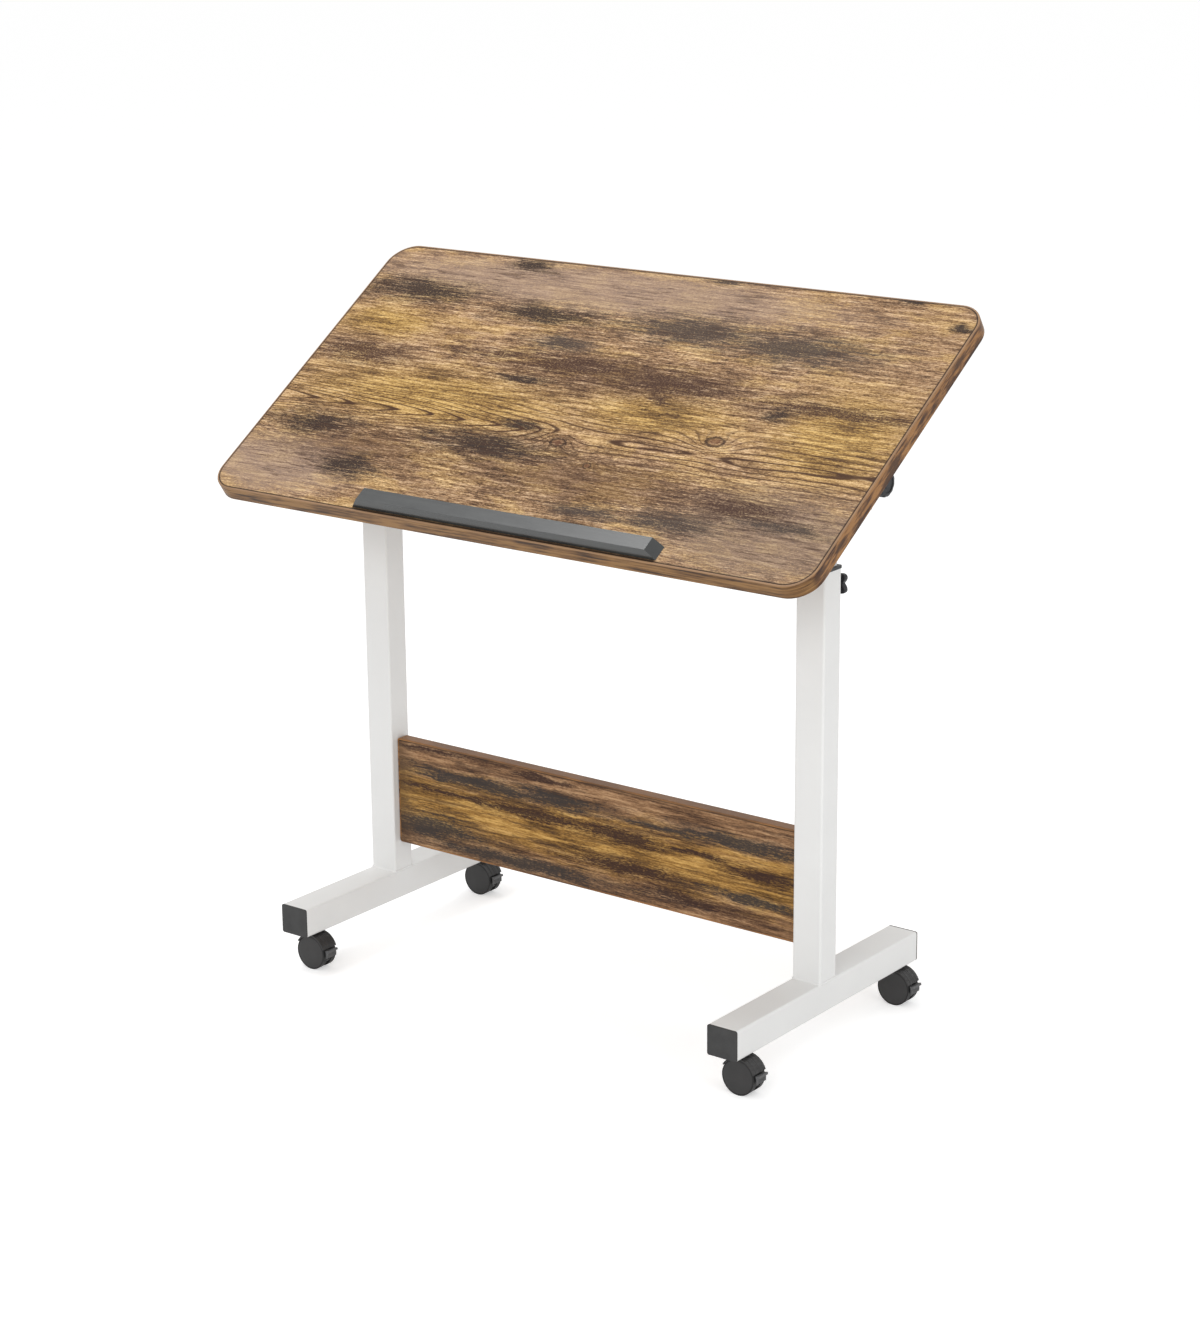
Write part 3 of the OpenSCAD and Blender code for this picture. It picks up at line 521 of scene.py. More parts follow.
def banding(name, location, rotation, high, *shades):
    """Edge banding with lines along its length and a painted highlight as a rim on its arris:
    shades dark to arris.
    """
    f = Finish(name, {"Specular IOR Level": 0.2})
    place = f.mapped(location, rotation)
    x, y, z = f.split(place)
    line = f.noise(place, (80, 80, 3.4), 3, 0.55)
    fibre = f.noise(place, (16, 16, 0.7), 2, 0.6)
    patch = f.noise(place, (50, 50, 9), 2)
    tone = line * 0.55 + fibre * 0.15 + patch * 0.3
    colour = f.shades(tone, BAND_STOPS, *shades[:3])
    streak = f.noise(place, (40, 40, 6), 3, 0.6)
    cut = f.shades(streak, CUT_STOPS, (60, 36, 24), (110, 75, 46), (158, 113, 68))
    side = f.step(f.math("ABSOLUTE", x), TOP_HALF_W - 4.0, TOP_HALF_W - 1.0)
    colour = f.mix(side * 0.85, colour, cut)
    # The rim on the arris is a painted highlight of the band's rounded upper edge.
    rim = f.step(z, high - 1.3, high - 0.6)
    colour = f.layers(colour, (rim * 0.75, *shades[3]))
    f.feed(Base_Color=colour, Roughness=0.5 - line * 0.1)
    f.bump(fibre, 0.1, 0.5)
    return f.material


def powder_coat():
    """White powder coat: a fine orange peel, hardly any change of shade."""
    f = Finish("white powder coat", {"Coat Weight": 0.12, "Coat Roughness": 0.25})
    place = f.mapped()
    peel = f.noise(place, (1.6, 1.6, 1.6), 2)
    cloud = f.noise(place, (60, 60, 60), 3)
    shade = f.ramp(cloud, ((0.3, (0.965, 0.965, 0.965, 1)), (0.7, (1, 1, 1, 1))))
    return f.coat("powder", shade, 0.34 + cloud * 0.12, peel, 0.12, 0.35)


def moulded(name, paint, grain, roughness, lift):
    """Moulded plastic with a spark-eroded grain and slightly rubbed highlights."""
    f = Finish(name, {"Specular IOR Level": 0.32})
    place = f.mapped()
    pebble = f.noise(place, (grain, grain, grain), 2, 0.6)
    cloud = f.noise(place, (14, 14, 14), 3)
    shade = f.ramp(cloud * 0.6 + pebble * 0.4, (
        (0.35, (1 - lift, 1 - lift, 1 - lift, 1)), (0.65, (1 + lift, 1 + lift, 1 + lift, 1))))
    return f.coat(paint, shade, roughness - 0.08 + cloud * 0.16, pebble, 0.08, 0.5)


def ledge_plastic():
    """Satin ledge with fine draw lines along its length."""
    f = Finish("satin ledge plastic", {"Specular IOR Level": 0.62})
    place = f.mapped(TOP_ORIGIN, (TOP_TILT, 0, 0))
    draw = f.noise(place, (80, 0.8, 0.8), 2)
    cloud = f.noise(place, (40, 10, 10), 2)
    shade = f.ramp(draw * 0.5 + cloud * 0.5, (
        (0.35, (0.85, 0.86, 0.87, 1)), (0.65, (1.15, 1.16, 1.14, 1))))
    return f.coat("ledge", shade, 0.17 + cloud * 0.08, draw, 0.05, 0.4)


def zinc_plate():
    """Zinc plating: bright, with faint turning marks and a cloudy passivation."""
    f = Finish("zinc plate", {"Metallic": 1.0})
    place = f.mapped()
    cloud = f.noise(place, (5, 5, 5), 4, 0.6)
    scratch = f.noise(place, (0.4, 3, 3), 2)
    shade = f.ramp(cloud, ((0.3, (0.82, 0.83, 0.86, 1)), (0.7, (1, 0.99, 0.96, 1))))
    return f.coat("zinc", shade, 0.28 + cloud * 0.2, scratch, 0.04, 0.4)


# Each finish: the function that makes it, then what it is given.
FINISHES = {
    "wood_laminate": (top_wood,),
    "panel_laminate": (panel_wood,),
    # The last shade of each banding is the painted highlight on its arris.
    "edge_banding": (banding, "top edge banding", TOP_ORIGIN, (TOP_TILT, 0, 0), TOP_THICK,
                     (62, 42, 27), (112, 80, 48), (144, 108, 66), (161, 128, 98)),
    "panel_banding": (banding, "panel edge banding", (0, 0, PANEL_FOOT), (0, 0, 0), PANEL_HIGH,
                      (80, 54, 36), (122, 86, 54), (156, 110, 66), (134, 98, 68)),
    "white_steel": (powder_coat,),
    "black_plastic": (moulded, "moulded black plastic", "moulded", 0.6, 0.5, 0.25),
    "knob_plastic": (moulded, "knob plastic", "knob", 0.5, 0.46, 0.25),
    "wheel_nylon": (moulded, "wheel nylon", "nylon", 1.1, 0.36, 0.12),
    "tread_nylon": (moulded, "tread nylon", "tread", 0.9, 0.6, 0.2),
    "pedal_plastic": (moulded, "pedal plastic", "pedal", 0.5, 0.42, 0.25),
    "ledge_plastic": (ledge_plastic,),
    "zinc_steel": (zinc_plate,),
}
made = {}

# Nearer points are one, flatter faces are one, and a sharper bend is an edge.
MERGE = 0.002 * MM
FLAT = math.radians(0.4)
EDGE = math.radians(32)
NUDGE = 0.01 * MM
# How full a star's lobes are, and a flute's width as a share of the pitch.
LOBE_POWER = 0.7
FLUTE_WIDTH = 0.17
# A recess's blade: its thickness as a share of its length, and its taper.
BLADE = 0.24
TAPER = 0.55
# A bead's swell, the rings in each ripple, and its rounded end, as shares of its radius.
RIPPLE = 0.1
RIPPLE_RINGS = 4
BEAD_END = ((0.3, 0.0), (0.8, 0.4))
BEAD_START = 0.6
BEAD_SIDES = 12
ROUND_BEAD_SIDES = 10
ARC_STEPS = 12


def finish_of(kind):
    """The finish of that kind, made the first time that a piece asks for it."""
    if kind not in made:
        maker, *given = FINISHES[kind]
        made[kind] = maker(*given)
    return made[kind]


def deselect():
    """Leaves nothing selected."""
    bpy.ops.object.select_all(action="DESELECT")


def take(piece):
    """Makes a piece the only one selected."""
    deselect()
    piece.select_set(True)
    bpy.context.view_layer.objects.active = piece


def edit_mode(on):
    """Enters edit mode, or leaves it."""
    bpy.ops.object.mode_set(mode="EDIT" if on else "OBJECT")


def settle(piece):
    """Puts a piece's object at the origin, with its place in its mesh."""
    take(piece)
    bpy.ops.object.transform_apply(location=True, rotation=True, scale=True)


def apply_modifier(piece, kind, **settings):
    """Adds a modifier with its settings and applies it."""
    take(piece)
    modifier = piece.modifiers.new(kind, kind)
    for key, setting in settings.items():
        setattr(modifier, key, setting)
    bpy.ops.object.modifier_apply(modifier=modifier.name)


def ease(piece, width, segments=2):
    """Rounds a piece's hard edges and shades it smooth, with its flats kept flat."""
    apply_modifier(piece, "BEVEL", width=width, segments=segments, limit_method="ANGLE",
                   angle_limit=EDGE, use_clamp_overlap=True)
    smooth(piece)


def smooth(piece, angle=40):
    """Shades a piece smooth up to an angle in degrees, and keeps its flats flat."""
    take(piece)
    bpy.ops.object.shade_smooth_by_angle(angle=math.radians(angle))
    apply_modifier(piece, "WEIGHTED_NORMAL", keep_sharp=True)


def middle_of(node, **moved):
    """The middle of a node's box, with the coordinates that are named put elsewhere."""
    low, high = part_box(node)
    middle = (low + high) / 2
    for axis, at in moved.items():
        setattr(middle, axis, at)
    return middle


def at_corners(part):
    """The four nodes of a caster's part."""
    return [f"{corner}_{part}" for corner in CORNERS]


def node_body(node):
    """The body that a frame node rides on."""
    for body, members in frame["record"]["behaviour"]["bodies"].items():
        if node in members:
            return body
    raise ValueError(f"no body has a node named {node}")


def seat(piece, name, kind, body, *nodes):
    """Names a finished piece, gives it a finish and a body, and says what it replaces."""
    settle(piece)
    piece.name = piece.data.name = name
    piece.data.materials.clear()
    piece.data.materials.append(finish_of(kind))
    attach(piece, body)
    if nodes:
        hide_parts(*nodes)


def copy_of(node):
    """A copy of a frame node, merged into clean faces, with its place in its mesh."""
    take(frame["nodes"][node])
    bpy.ops.object.duplicate()
    piece = bpy.context.object
    piece.parent = None
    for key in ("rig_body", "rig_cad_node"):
        del piece[key]
    edit_mode(True)
    bpy.ops.mesh.select_all(action="SELECT")
    bpy.ops.mesh.customdata_custom_splitnormals_clear()
    bpy.ops.mesh.remove_doubles(threshold=MERGE)
    bpy.ops.mesh.dissolve_limited(angle_limit=FLAT)
    edit_mode(False)
    return piece


def dress(node, kind, width, segments=2):
    """A frame node's own form with its edges eased and a real finish."""
    piece = copy_of(node)
    ease(piece, width, segments)
    seat(piece, node + "_dressed", kind, node_body(node), node)


def repeat(pattern, nodes, ending, kind):
    """Puts a copy of a pattern, which was modelled at the first node, at each like node."""
    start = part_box(nodes[0])[0]
    for node in nodes:
        take(pattern)
        bpy.ops.object.duplicate()
        piece = bpy.context.object
        piece.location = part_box(node)[0] - start
        seat(piece, node + ending, kind, node_body(node), node)
    bpy.data.objects.remove(pattern, do_unlink=True)


def pick(piece, test):
    """In edit mode, selects only the faces that pass a test."""
    mesh = bmesh.from_edit_mesh(piece.data)
    bpy.ops.mesh.select_mode(type="FACE")
    bpy.ops.mesh.select_all(action="DESELECT")
    for face in mesh.faces:
        face.select_set(test(face))
    bmesh.update_edit_mesh(piece.data)


def primitive(kind, location=(0, 0, 0), **settings):
    """A new simple mesh, as the only one selected."""
    deselect()
    getattr(bpy.ops.mesh, f"primitive_{kind}_add")(location=location, **settings)
    return bpy.context.object


def stacked(steps, sides):
    """A blank along Z from rings: each step is a radius, or a function of the angle, and a height.

    The first two rings make a cylinder, and its end face is then extruded to every later ring."""
    low, high = steps[0][1], steps[1][1]
    piece = primitive("cylinder", (0, 0, (low + high) / 2), vertices=sides, radius=1,
                      depth=high - low)
    settle(piece)
    edit_mode(True)
    pick(piece, lambda face: face.normal.z < -0.9)
    shape_ring(piece, *steps[0])
    pick(piece, lambda face: face.normal.z > 0.9)
    shape_ring(piece, *steps[1])
    for radius, height in steps[2:]:
        bpy.ops.mesh.extrude_region_move(TRANSFORM_OT_translate={"value": (0, 0, NUDGE)})
        shape_ring(piece, radius, height)
    face_outward()
    return piece


def face_outward():
    """Turns all faces of the piece in edit mode outwards, and leaves edit mode."""
    bpy.ops.mesh.select_all(action="SELECT")
    bpy.ops.mesh.normals_make_consistent(inside=False)
    edit_mode(False)


def shape_ring(piece, radius, height):
    """Puts the selected ring of points at a radius, or on an outline, and at a height."""
    mesh = bmesh.from_edit_mesh(piece.data)
    for point in mesh.verts:
        if point.select:
            turn = math.atan2(point.co.y, point.co.x)
            reach = radius(turn) if callable(radius) else radius
            point.co = (reach * math.cos(turn), reach * math.sin(turn), height)
    bmesh.update_edit_mesh(piece.data)


def facing(at, axis, front="Z"):
    """The matrix that moves to a place and turns an object's front to an axis."""
    return Matrix.Translation(at) @ Vector(axis).to_track_quat(front, "Y").to_matrix().to_4x4()


def place(piece, axis, at):
    """Turns a piece made along Z to an axis, and moves its foot to a place."""
    piece.matrix_world = facing(at, axis)
    settle(piece)
    return piece


def star(reach, waist, lobes):
    """The outline of a star knob: round lobes with shallow valleys between them."""
    def outline(turn):
        wave = 0.5 + 0.5 * math.cos(lobes * (turn - math.pi / 2))
        return waist + (reach - waist) * wave ** LOBE_POWER
    return outline


def fluted(radius, depth, flutes):
    """The outline of a round knob with narrow flutes."""
    step = 2 * math.pi / flutes

    def outline(turn):
        off = (turn + step / 2) % step - step / 2
        return radius - depth * math.exp(-(off / (step * FLUTE_WIDTH)) ** 2)
    return outline


def scaled(outline, share):
    """An outline with all its radii made smaller by a share."""
    return lambda turn: outline(turn) * share


def knob_rings(hub, outline, foot, shoulder, face, tall):
    """The rings of a knob: its hub, its grip from foot to shoulder, and its dished face."""
    radius, top = hub[0] * MM, hub[1] * MM
    rings = [(radius, 0.0), (radius, top)]
    rings += [(scaled(outline, share), top + up * MM) for share, up in foot]
    rings += [(scaled(outline, share), tall - down * MM) for share, down in shoulder]
    return rings + [(reach, tall - down * MM) for reach, down in face]


def join_up(pieces):
    """Joins pieces into the first."""
    take(pieces[0])
    for piece in pieces[1:]:
        piece.select_set(True)
    bpy.ops.object.join()
    return bpy.context.object


def heads_of(piece, outward):
    """The middle of the outer face of each separate fastener in a piece."""
    mesh = bmesh.new()
    mesh.from_mesh(piece.data)
    left, found = set(mesh.verts), []
    while left:
        island, edge = set(), {left.pop()}
        while edge:
            point = edge.pop()
            island.add(point)
            for line in point.link_edges:
                other = line.other_vert(point)
                if other not in island:
                    edge.add(other)
        left -= island
        middle = sum((point.co for point in island), Vector()) / len(island)
        axis = Vector(outward(middle))
        reach = max((point.co - middle).dot(axis) for point in island)
        found.append((middle + axis * reach, axis))
    mesh.free()
    return found


def cross_cutter(width, depth):
    """Two crossed blades, for a cross recess."""
    blades = []
    for size in ((width, width * BLADE), (width * BLADE, width)):
        blade = primitive("cube", size=1)
        blade.scale = (*size, 2 * depth)
        settle(blade)
        edit_mode(True)
        pick(blade, lambda face: face.normal.z < -0.9)
        bpy.ops.transform.resize(value=(TAPER, TAPER, 1))
        edit_mode(False)
        blades.append(blade)
    apply_boolean(blades[0], blades[1], "UNION")
    return blades[0]


def hex_cutter(width, depth):
    """A six-sided blade, for a key socket."""
    return primitive("cylinder", vertices=6, radius=width / math.sqrt(3), depth=2 * depth)


def apply_boolean(piece, tool, operation):
    """Cuts a piece with a tool, or joins them, and removes the tool."""
    apply_modifier(piece, "BOOLEAN", object=tool, operation=operation, solver="EXACT")
    bpy.data.objects.remove(tool, do_unlink=True)


def fasteners(node, outward, cutter, size, depth):
    """A node's screws or bolts with a recess in each head."""
    piece = copy_of(node)
    ease(piece, HEAD_EASE)
    tools = [place(cutter(size, depth), axis, at) for at, axis in heads_of(piece, outward)]
    apply_boolean(piece, join_up(tools), "DIFFERENCE")
    smooth(piece)
    seat(piece, node + "_dressed", "zinc_steel", node_body(node), node)


def ripple(radius, along, pitch):
    """The radius of a weld bead at a distance along it."""
    return radius * (1 + RIPPLE * math.sin(2 * math.pi * along / pitch))


def straight_bead(start, end, radius, pitch):
    """A weld bead along a line, with a ripple at each stop of the torch."""
    length = (Vector(end) - Vector(start)).length
    steps = [(radius * share, radius * away) for share, away in BEAD_END]
    count = int(length / pitch * RIPPLE_RINGS)
    for i in range(1, count):
        along = radius * BEAD_START + (length - 2 * BEAD_START * radius) * i / count
        steps.append((ripple(radius, along, pitch), along))
    steps += [(radius * share, length - radius * away) for share, away in reversed(BEAD_END)]
    return place(stacked(steps, BEAD_SIDES), Vector(end) - Vector(start), start)


def bead_round(middle, half_w, half_d, corner, radius, pitch):
    """A weld bead round a square tube that stands on a plate."""
    path = []
    for quarter in range(4):
        cx = (half_w - corner) * (1 if quarter in (0, 3) else -1)
        cy = (half_d - corner) * (1 if quarter in (0, 1) else -1)
        for i in range(ARC_STEPS + 1):
            turn = math.pi / 2 * (quarter + i / ARC_STEPS)
            path.append(Vector((cx + corner * math.cos(turn), cy + corner * math.sin(turn), 0)))
    shape = []
    for i, point in enumerate(path):
        after = path[(i + 1) % len(path)]
        parts = max(1, round((after - point).length / (pitch / RIPPLE_RINGS)))
        shape += [point.lerp(after, j / parts) for j in range(parts)]
    bead = primitive("torus", major_segments=len(shape), minor_segments=ROUND_BEAD_SIDES)
    along = 0.0
    for i, point in enumerate(shape):
        before, after = shape[i - 1], shape[(i + 1) % len(shape)]
        out = (after - before).cross(Vector((0, 0, 1))).normalized()
        size = ripple(radius, along, pitch)
        for j in range(ROUND_BEAD_SIDES):
            turn = 2 * math.pi * j / ROUND_BEAD_SIDES
            bead.data.vertices[i * ROUND_BEAD_SIDES + j].co = middle + point + size * (
                out * math.cos(turn) + Vector((0, 0, math.sin(turn))))
        along += (after - point).length
    edit_mode(True)
    face_outward()
    return bead


class DESK_OT_boards(bpy.types.Operator):
    """Make the laminated top and the modesty panel"""

    bl_idname = "desk.boards"
    bl_label = "Boards"

    def execute(self, context):
        dress("desktop", "wood_laminate", sizes().board_ease)
        dress("modesty_panel", "panel_laminate", sizes().board_ease)
        return {"FINISHED"}


class DESK_OT_banding(bpy.types.Operator):
    """Make the edge banding of the top and of the panel"""

    bl_idname = "desk.banding"
    bl_label = "Edge banding"

    def execute(self, context):
        dress("desktop_edge_band", "edge_banding", sizes().board_ease)
        dress("panel_edge_band", "panel_banding", sizes().board_ease)
        return {"FINISHED"}


class DESK_OT_ledge(bpy.types.Operator):
    """Make the ledge that stops things from sliding off the tilted top"""

    bl_idname = "desk.ledge"
    bl_label = "Ledge"

    def execute(self, context):
        dress("ledge", "ledge_plastic", sizes().moulded_ease, 3)
        return {"FINISHED"}


class DESK_OT_steelwork(bpy.types.Operator):
    """Make the columns, feet, inner tubes, tilt plates and tabs"""

    bl_idname = "desk.steelwork"
    bl_label = "Steelwork"

    def execute(self, context):
        for side in SIDES:
            for part in ("foot_tube", "outer_column", "inner_tube", "tilt_head", "quadrant"):
                dress(f"{side}_{part}", "white_steel", sizes().steel_ease)
        for node in ("panel_tabs", "clamp_nuts"):
            dress(node, "white_steel", sizes().steel_ease)
        return {"FINISHED"}


class DESK_OT_plastics(bpy.types.Operator):
    """Make the end caps, collars, glides and clamp pads"""

    bl_idname = "desk.plastics"
    bl_label = "Plastic fittings"

    def execute(self, context):
        for node in ("foot_end_caps", "column_collars", "tube_plugs",
                     "left_clamp_pad", "right_clamp_pad"):
            dress(node, "black_plastic", sizes().moulded_ease)
        return {"FINISHED"}


COLUMN_CORNER = 2.5 * MM
BEAD_SMOOTH = 60
# The beads of the heads and tabs are smaller than those of the feet, by these shares.
HEAD_BEAD = 0.8
TAB_BEAD = 0.7
HEAD_INSET = 2 * MM
HEAD_END = 3 * MM
TAB_HIGH = 24 * MM
TAB_BEAD_FROM = 0.3 * MM
TAB_BEAD_TO = 7 * MM
TAB_BEAD_SINK = 0.2 * MM


class DESK_OT_welds(bpy.types.Operator):
    """Make the weld beads of the feet, the tabs and the tilt heads"""

    bl_idname = "desk.welds"
    bl_label = "Weld beads"

    def execute(self, context):
        radius, pitch = sizes().bead, sizes().bead_pitch
        for side in SIDES:
            column = f"{side}_outer_column"
            low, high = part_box(column)
            foot = bead_round(middle_of(column, z=low.z), (high.x - low.x) / 2,
                              (high.y - low.y) / 2, COLUMN_CORNER, radius, pitch)
            self.fit(foot, f"{side}_foot_weld", "base_frame")
            self.head_welds(side, radius * HEAD_BEAD, pitch)
        self.tab_welds(radius * TAB_BEAD, pitch)
        return {"FINISHED"}

    def head_welds(self, side, radius, pitch):
        """Two beads down the head plate's edges, where it lies on the inner tube."""
        tube_low, tube_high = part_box(f"{side}_inner_tube")
        plate_low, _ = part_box(f"{side}_tilt_head")
        x = tube_high.x if side == "right" else tube_low.x
        beads = []
        for y in (tube_low.y + HEAD_INSET, tube_high.y - HEAD_INSET):
            beads.append(straight_bead((x, y, plate_low.z + HEAD_END),
                                       (x, y, tube_high.z - HEAD_END), radius, pitch))
        self.fit(join_up(beads), f"{side}_head_weld", "lift_frame")

    def tab_welds(self, radius, pitch):
        """A bead above and below each tab, where it meets the column."""
        low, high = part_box("panel_tabs")
        beads = []
        for x, inward in ((low.x, 1), (high.x, -1)):
            for edge in (low.z, low.z + TAB_HIGH, high.z - TAB_HIGH, high.z):
                start, end = ((x + reach * inward, high.y, edge - TAB_BEAD_SINK)
                              for reach in (TAB_BEAD_FROM, TAB_BEAD_TO))
                beads.append(straight_bead(start, end, radius, pitch))
        self.fit(join_up(beads), "tab_welds", "base_frame")

    def fit(self, bead, name, body):
        """Shades a bead smooth and puts it on its body."""
        smooth(bead, BEAD_SMOOTH)
        seat(bead, name, "white_steel", body)


# A knob from its foot up, in mm: its hub's radius and height, then rings. Those of the grip are
# shares of its outline, at heights above the hub or depths below the face. Those of the face
# are radii, or shares of the fluted knob's radius, at depths.
STAR_HUB = (8.5, 3.5)
STAR_FOOT = ((0.93, 0), (0.98, 0.5), (1, 1.3))
STAR_SHOULDER = ((1, 3), (0.985, 2), (0.94, 1.1), (0.86, 0.5), (0.72, 0.15))
STAR_FACE = ((6.6, 0), (6.4, 0), (6.2, 0.9), (5.6, 0.9), (5.4, 0.3), (2, 0))
STAR_WAIST = 0.7
STAR_SIDES = 96
FLUTED_HUB = (8.5, 5)
FLUTED_FOOT = ((0.95, 0), (0.985, 0.3), (1, 0.9))
FLUTED_SHOULDER = ((1, 2.5), (0.985, 1.6), (0.94, 0.75))
FLUTED_FACE = ((0.86, 0.2), (0.78, 0), (0.7, 0), (0.67, 0.8), (0.36, 0.8), (0.34, 0.2), (0.14, 0))
FLUTE_DEPTH = 1 * MM
FLUTED_SIDES = 144
KNOB_SMOOTH = 38


class DESK_OT_knobs(bpy.types.Operator):
    """Make the star knobs that lock the height and the fluted knobs that lock the tilt"""

    bl_idname = "desk.knobs"
    bl_label = "Clamp knobs"

    def execute(self, context):
        for side in SIDES:
            self.star_knob(side)
            self.tilt_knob(side)
        return {"FINISHED"}

    def star_knob(self, side):
        """A height knob, which faces the rear."""
        node = f"{side}_height_knob"
        low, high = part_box(node)
        reach = (high.z - low.z) / 2
        outline = star(reach, reach * STAR_WAIST, sizes().star_lobes)
        face = [(radius * MM, down) for radius, down in STAR_FACE]
        rings = knob_rings(STAR_HUB, outline, STAR_FOOT, STAR_SHOULDER, face, high.y - low.y)
        self.fit(node, "_star", stacked(rings, STAR_SIDES), (0, 1, 0),
                 middle_of(node, y=low.y))

    def tilt_knob(self, side):
        """A tilt knob, which faces outwards."""
        node = f"{side}_tilt_knob"
        low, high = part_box(node)
        radius = (high.z - low.z) / 2
        outline = fluted(radius, FLUTE_DEPTH, sizes().tilt_flutes)
        face = [(radius * share, down) for share, down in FLUTED_FACE]
        rings = knob_rings(FLUTED_HUB, outline, FLUTED_FOOT, FLUTED_SHOULDER, face,
                           high.x - low.x)
        outward, foot = (1, low.x) if side == "right" else (-1, high.x)
        self.fit(node, "_fluted", stacked(rings, FLUTED_SIDES), (outward, 0, 0),
                 middle_of(node, x=foot))

    def fit(self, node, ending, blank, axis, at):
        """Puts a knob in its node's place."""
        knob = place(blank, axis, at)
        smooth(knob, KNOB_SMOOTH)
        seat(knob, node + ending, "knob_plastic", node_body(node), node)


HEAD_EASE = 0.3 * MM
METAL_EASE = 0.2 * MM
# The width and depth of the recess in a head.
CROSS = (4.6 * MM, 1.5 * MM)
SOCKET = (5 * MM, 2.6 * MM)


class DESK_OT_hardware(bpy.types.Operator):
    """Make the screws, bolts, nuts, washers and studs"""

    bl_idname = "desk.hardware"
    bl_label = "Hardware"

    def execute(self, context):
        under = (0, math.sin(TOP_TILT), -math.cos(TOP_TILT))
        fasteners("panel_screws", lambda at: (0, 1, 0), cross_cutter, *CROSS)
        fasteners("quadrant_screws", lambda at: under, cross_cutter, *CROSS)
        fasteners("ledge_screws", lambda at: under, cross_cutter, *CROSS)
        fasteners("pivot_bolts", lambda at: (math.copysign(1, at.x), 0, 0), hex_cutter, *SOCKET)
        nodes = ["caster_nuts", "caster_stems", "head_nuts"]
        for side in SIDES:
            nodes += [f"{side}_height_stud", f"{side}_tilt_stud", f"{side}_tilt_washer"]
        for node in nodes:
            dress(node, "zinc_steel", METAL_EASE)
        return {"FINISHED"}


CASTER_EASE = 0.3 * MM
LEVER_EASE = 0.2 * MM
# The seam between a wheel's tread and cover, as a share of the wheel's radius, and its depth.
SEAM_SHARE = 0.925
SEAM_DEPTH = 1.4 * MM
CUTTER_CLEAR = 1 * MM
ROUND_SIDES = 128
# The hood's grooves across its width, how far their middle line is sunk, and their radius.
GROOVE_SHARES = (-0.3, -0.06, 0.06, 0.3)
GROOVE_SINK = 0.4 * MM
GROOVE_RADIUS = 0.55 * MM
GROOVE_SIDES = 12
# The pedal's grip grooves: degrees above the axle, distance from it, and their sizes.
GRIP_SLOPES = (-5, -1, 3)
GRIP_REACH = 23.2 * MM
GRIP_DEEP = 1.2 * MM
GRIP_WIDE = 0.6 * MM
GRIP_MARGIN = 3 * MM


class DESK_OT_casters(bpy.types.Operator):
    """Make the four twin-wheel casters with their hoods and brake levers"""

    bl_idname = "desk.casters"
    bl_label = "Casters"

    def execute(self, context):
        for node in at_corners("caster_axle"):
            dress(node, "zinc_steel", METAL_EASE)
        self.wheels("front", 1)
        self.wheels("rear", -1)
        self.hoods()
        self.levers()
        return {"FINISHED"}

    def wheels(self, end, inward):
        """Each wheel's tread, and the cover on its outer face, parted along a round seam; the
        tread's deeper black is partly its own colour and partly painted shade on the tyre edge.
        """
        nodes = at_corners(f"{end}_wheel")
        low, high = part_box(nodes[0])
        radius = (high.z - low.z) / 2
        face = middle_of(nodes[0], y=low.y if inward == 1 else high.y)
        tread, cover = copy_of(nodes[0]), copy_of(nodes[0])
        for pattern, operation in ((tread, "DIFFERENCE"), (cover, "INTERSECT")):
            seam = stacked([(radius * SEAM_SHARE, -CUTTER_CLEAR),
                            (radius * SEAM_SHARE, SEAM_DEPTH)], ROUND_SIDES)
            apply_boolean(pattern, place(seam, (0, inward, 0), face), operation)
            ease(pattern, CASTER_EASE)
        repeat(tread, nodes, "_tread", "tread_nylon")
        repeat(cover, nodes, "_cover", "wheel_nylon")

    def hoods(self):
        """The hoods, with grooves along their arc."""
        nodes = at_corners("caster_body")
        pattern = copy_of(nodes[0])
        low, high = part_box(nodes[0])
        middle = middle_of(at_corners("caster_axle")[0])
        for share in GROOVE_SHARES:
            groove = primitive(
                "torus", middle + Vector((0, share * (high.y - low.y), 0)),
                rotation=(math.pi / 2, 0, 0), major_segments=ROUND_SIDES,
                minor_segments=GROOVE_SIDES, major_radius=high.z - middle.z - GROOVE_SINK,
                minor_radius=GROOVE_RADIUS)
            apply_boolean(pattern, groove, "DIFFERENCE")
        ease(pattern, CASTER_EASE)
        repeat(pattern, nodes, "_grooved", "wheel_nylon")

    def levers(self):
        """The brake levers, with grip grooves across their pedals."""
        nodes = at_corners("brake_lever")
        pattern = copy_of(nodes[0])
        low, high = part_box(nodes[0])
        middle = middle_of(at_corners("caster_axle")[0])
        for slope in GRIP_SLOPES:
            turn = math.radians(slope)
            out = Vector((GRIP_REACH * math.cos(turn), 0, GRIP_REACH * math.sin(turn)))
            cutter = primitive("cube", middle + out, size=1, rotation=(0, -turn, 0))
            cutter.scale = (GRIP_DEEP, high.y - low.y - GRIP_MARGIN, GRIP_WIDE)
            settle(cutter)
            apply_boolean(pattern, cutter, "DIFFERENCE")
        ease(pattern, LEVER_EASE)
        repeat(pattern, nodes, "_ribbed", "pedal_plastic")


AZIMUTH = math.radians(37.42)
ELEVATION = math.radians(16.354)
ROLL = -0.00899
CAMERA_AT = (1.9927, -2.5869, 1.3269)
LENS = 82.70
FRAME_LONG_SIDE = 36.0
CAMERA_REACH = 100
WORLD_LIGHT = 0.7
FLOOR_SIZE = 60
FLOOR_GLOW = 0.4
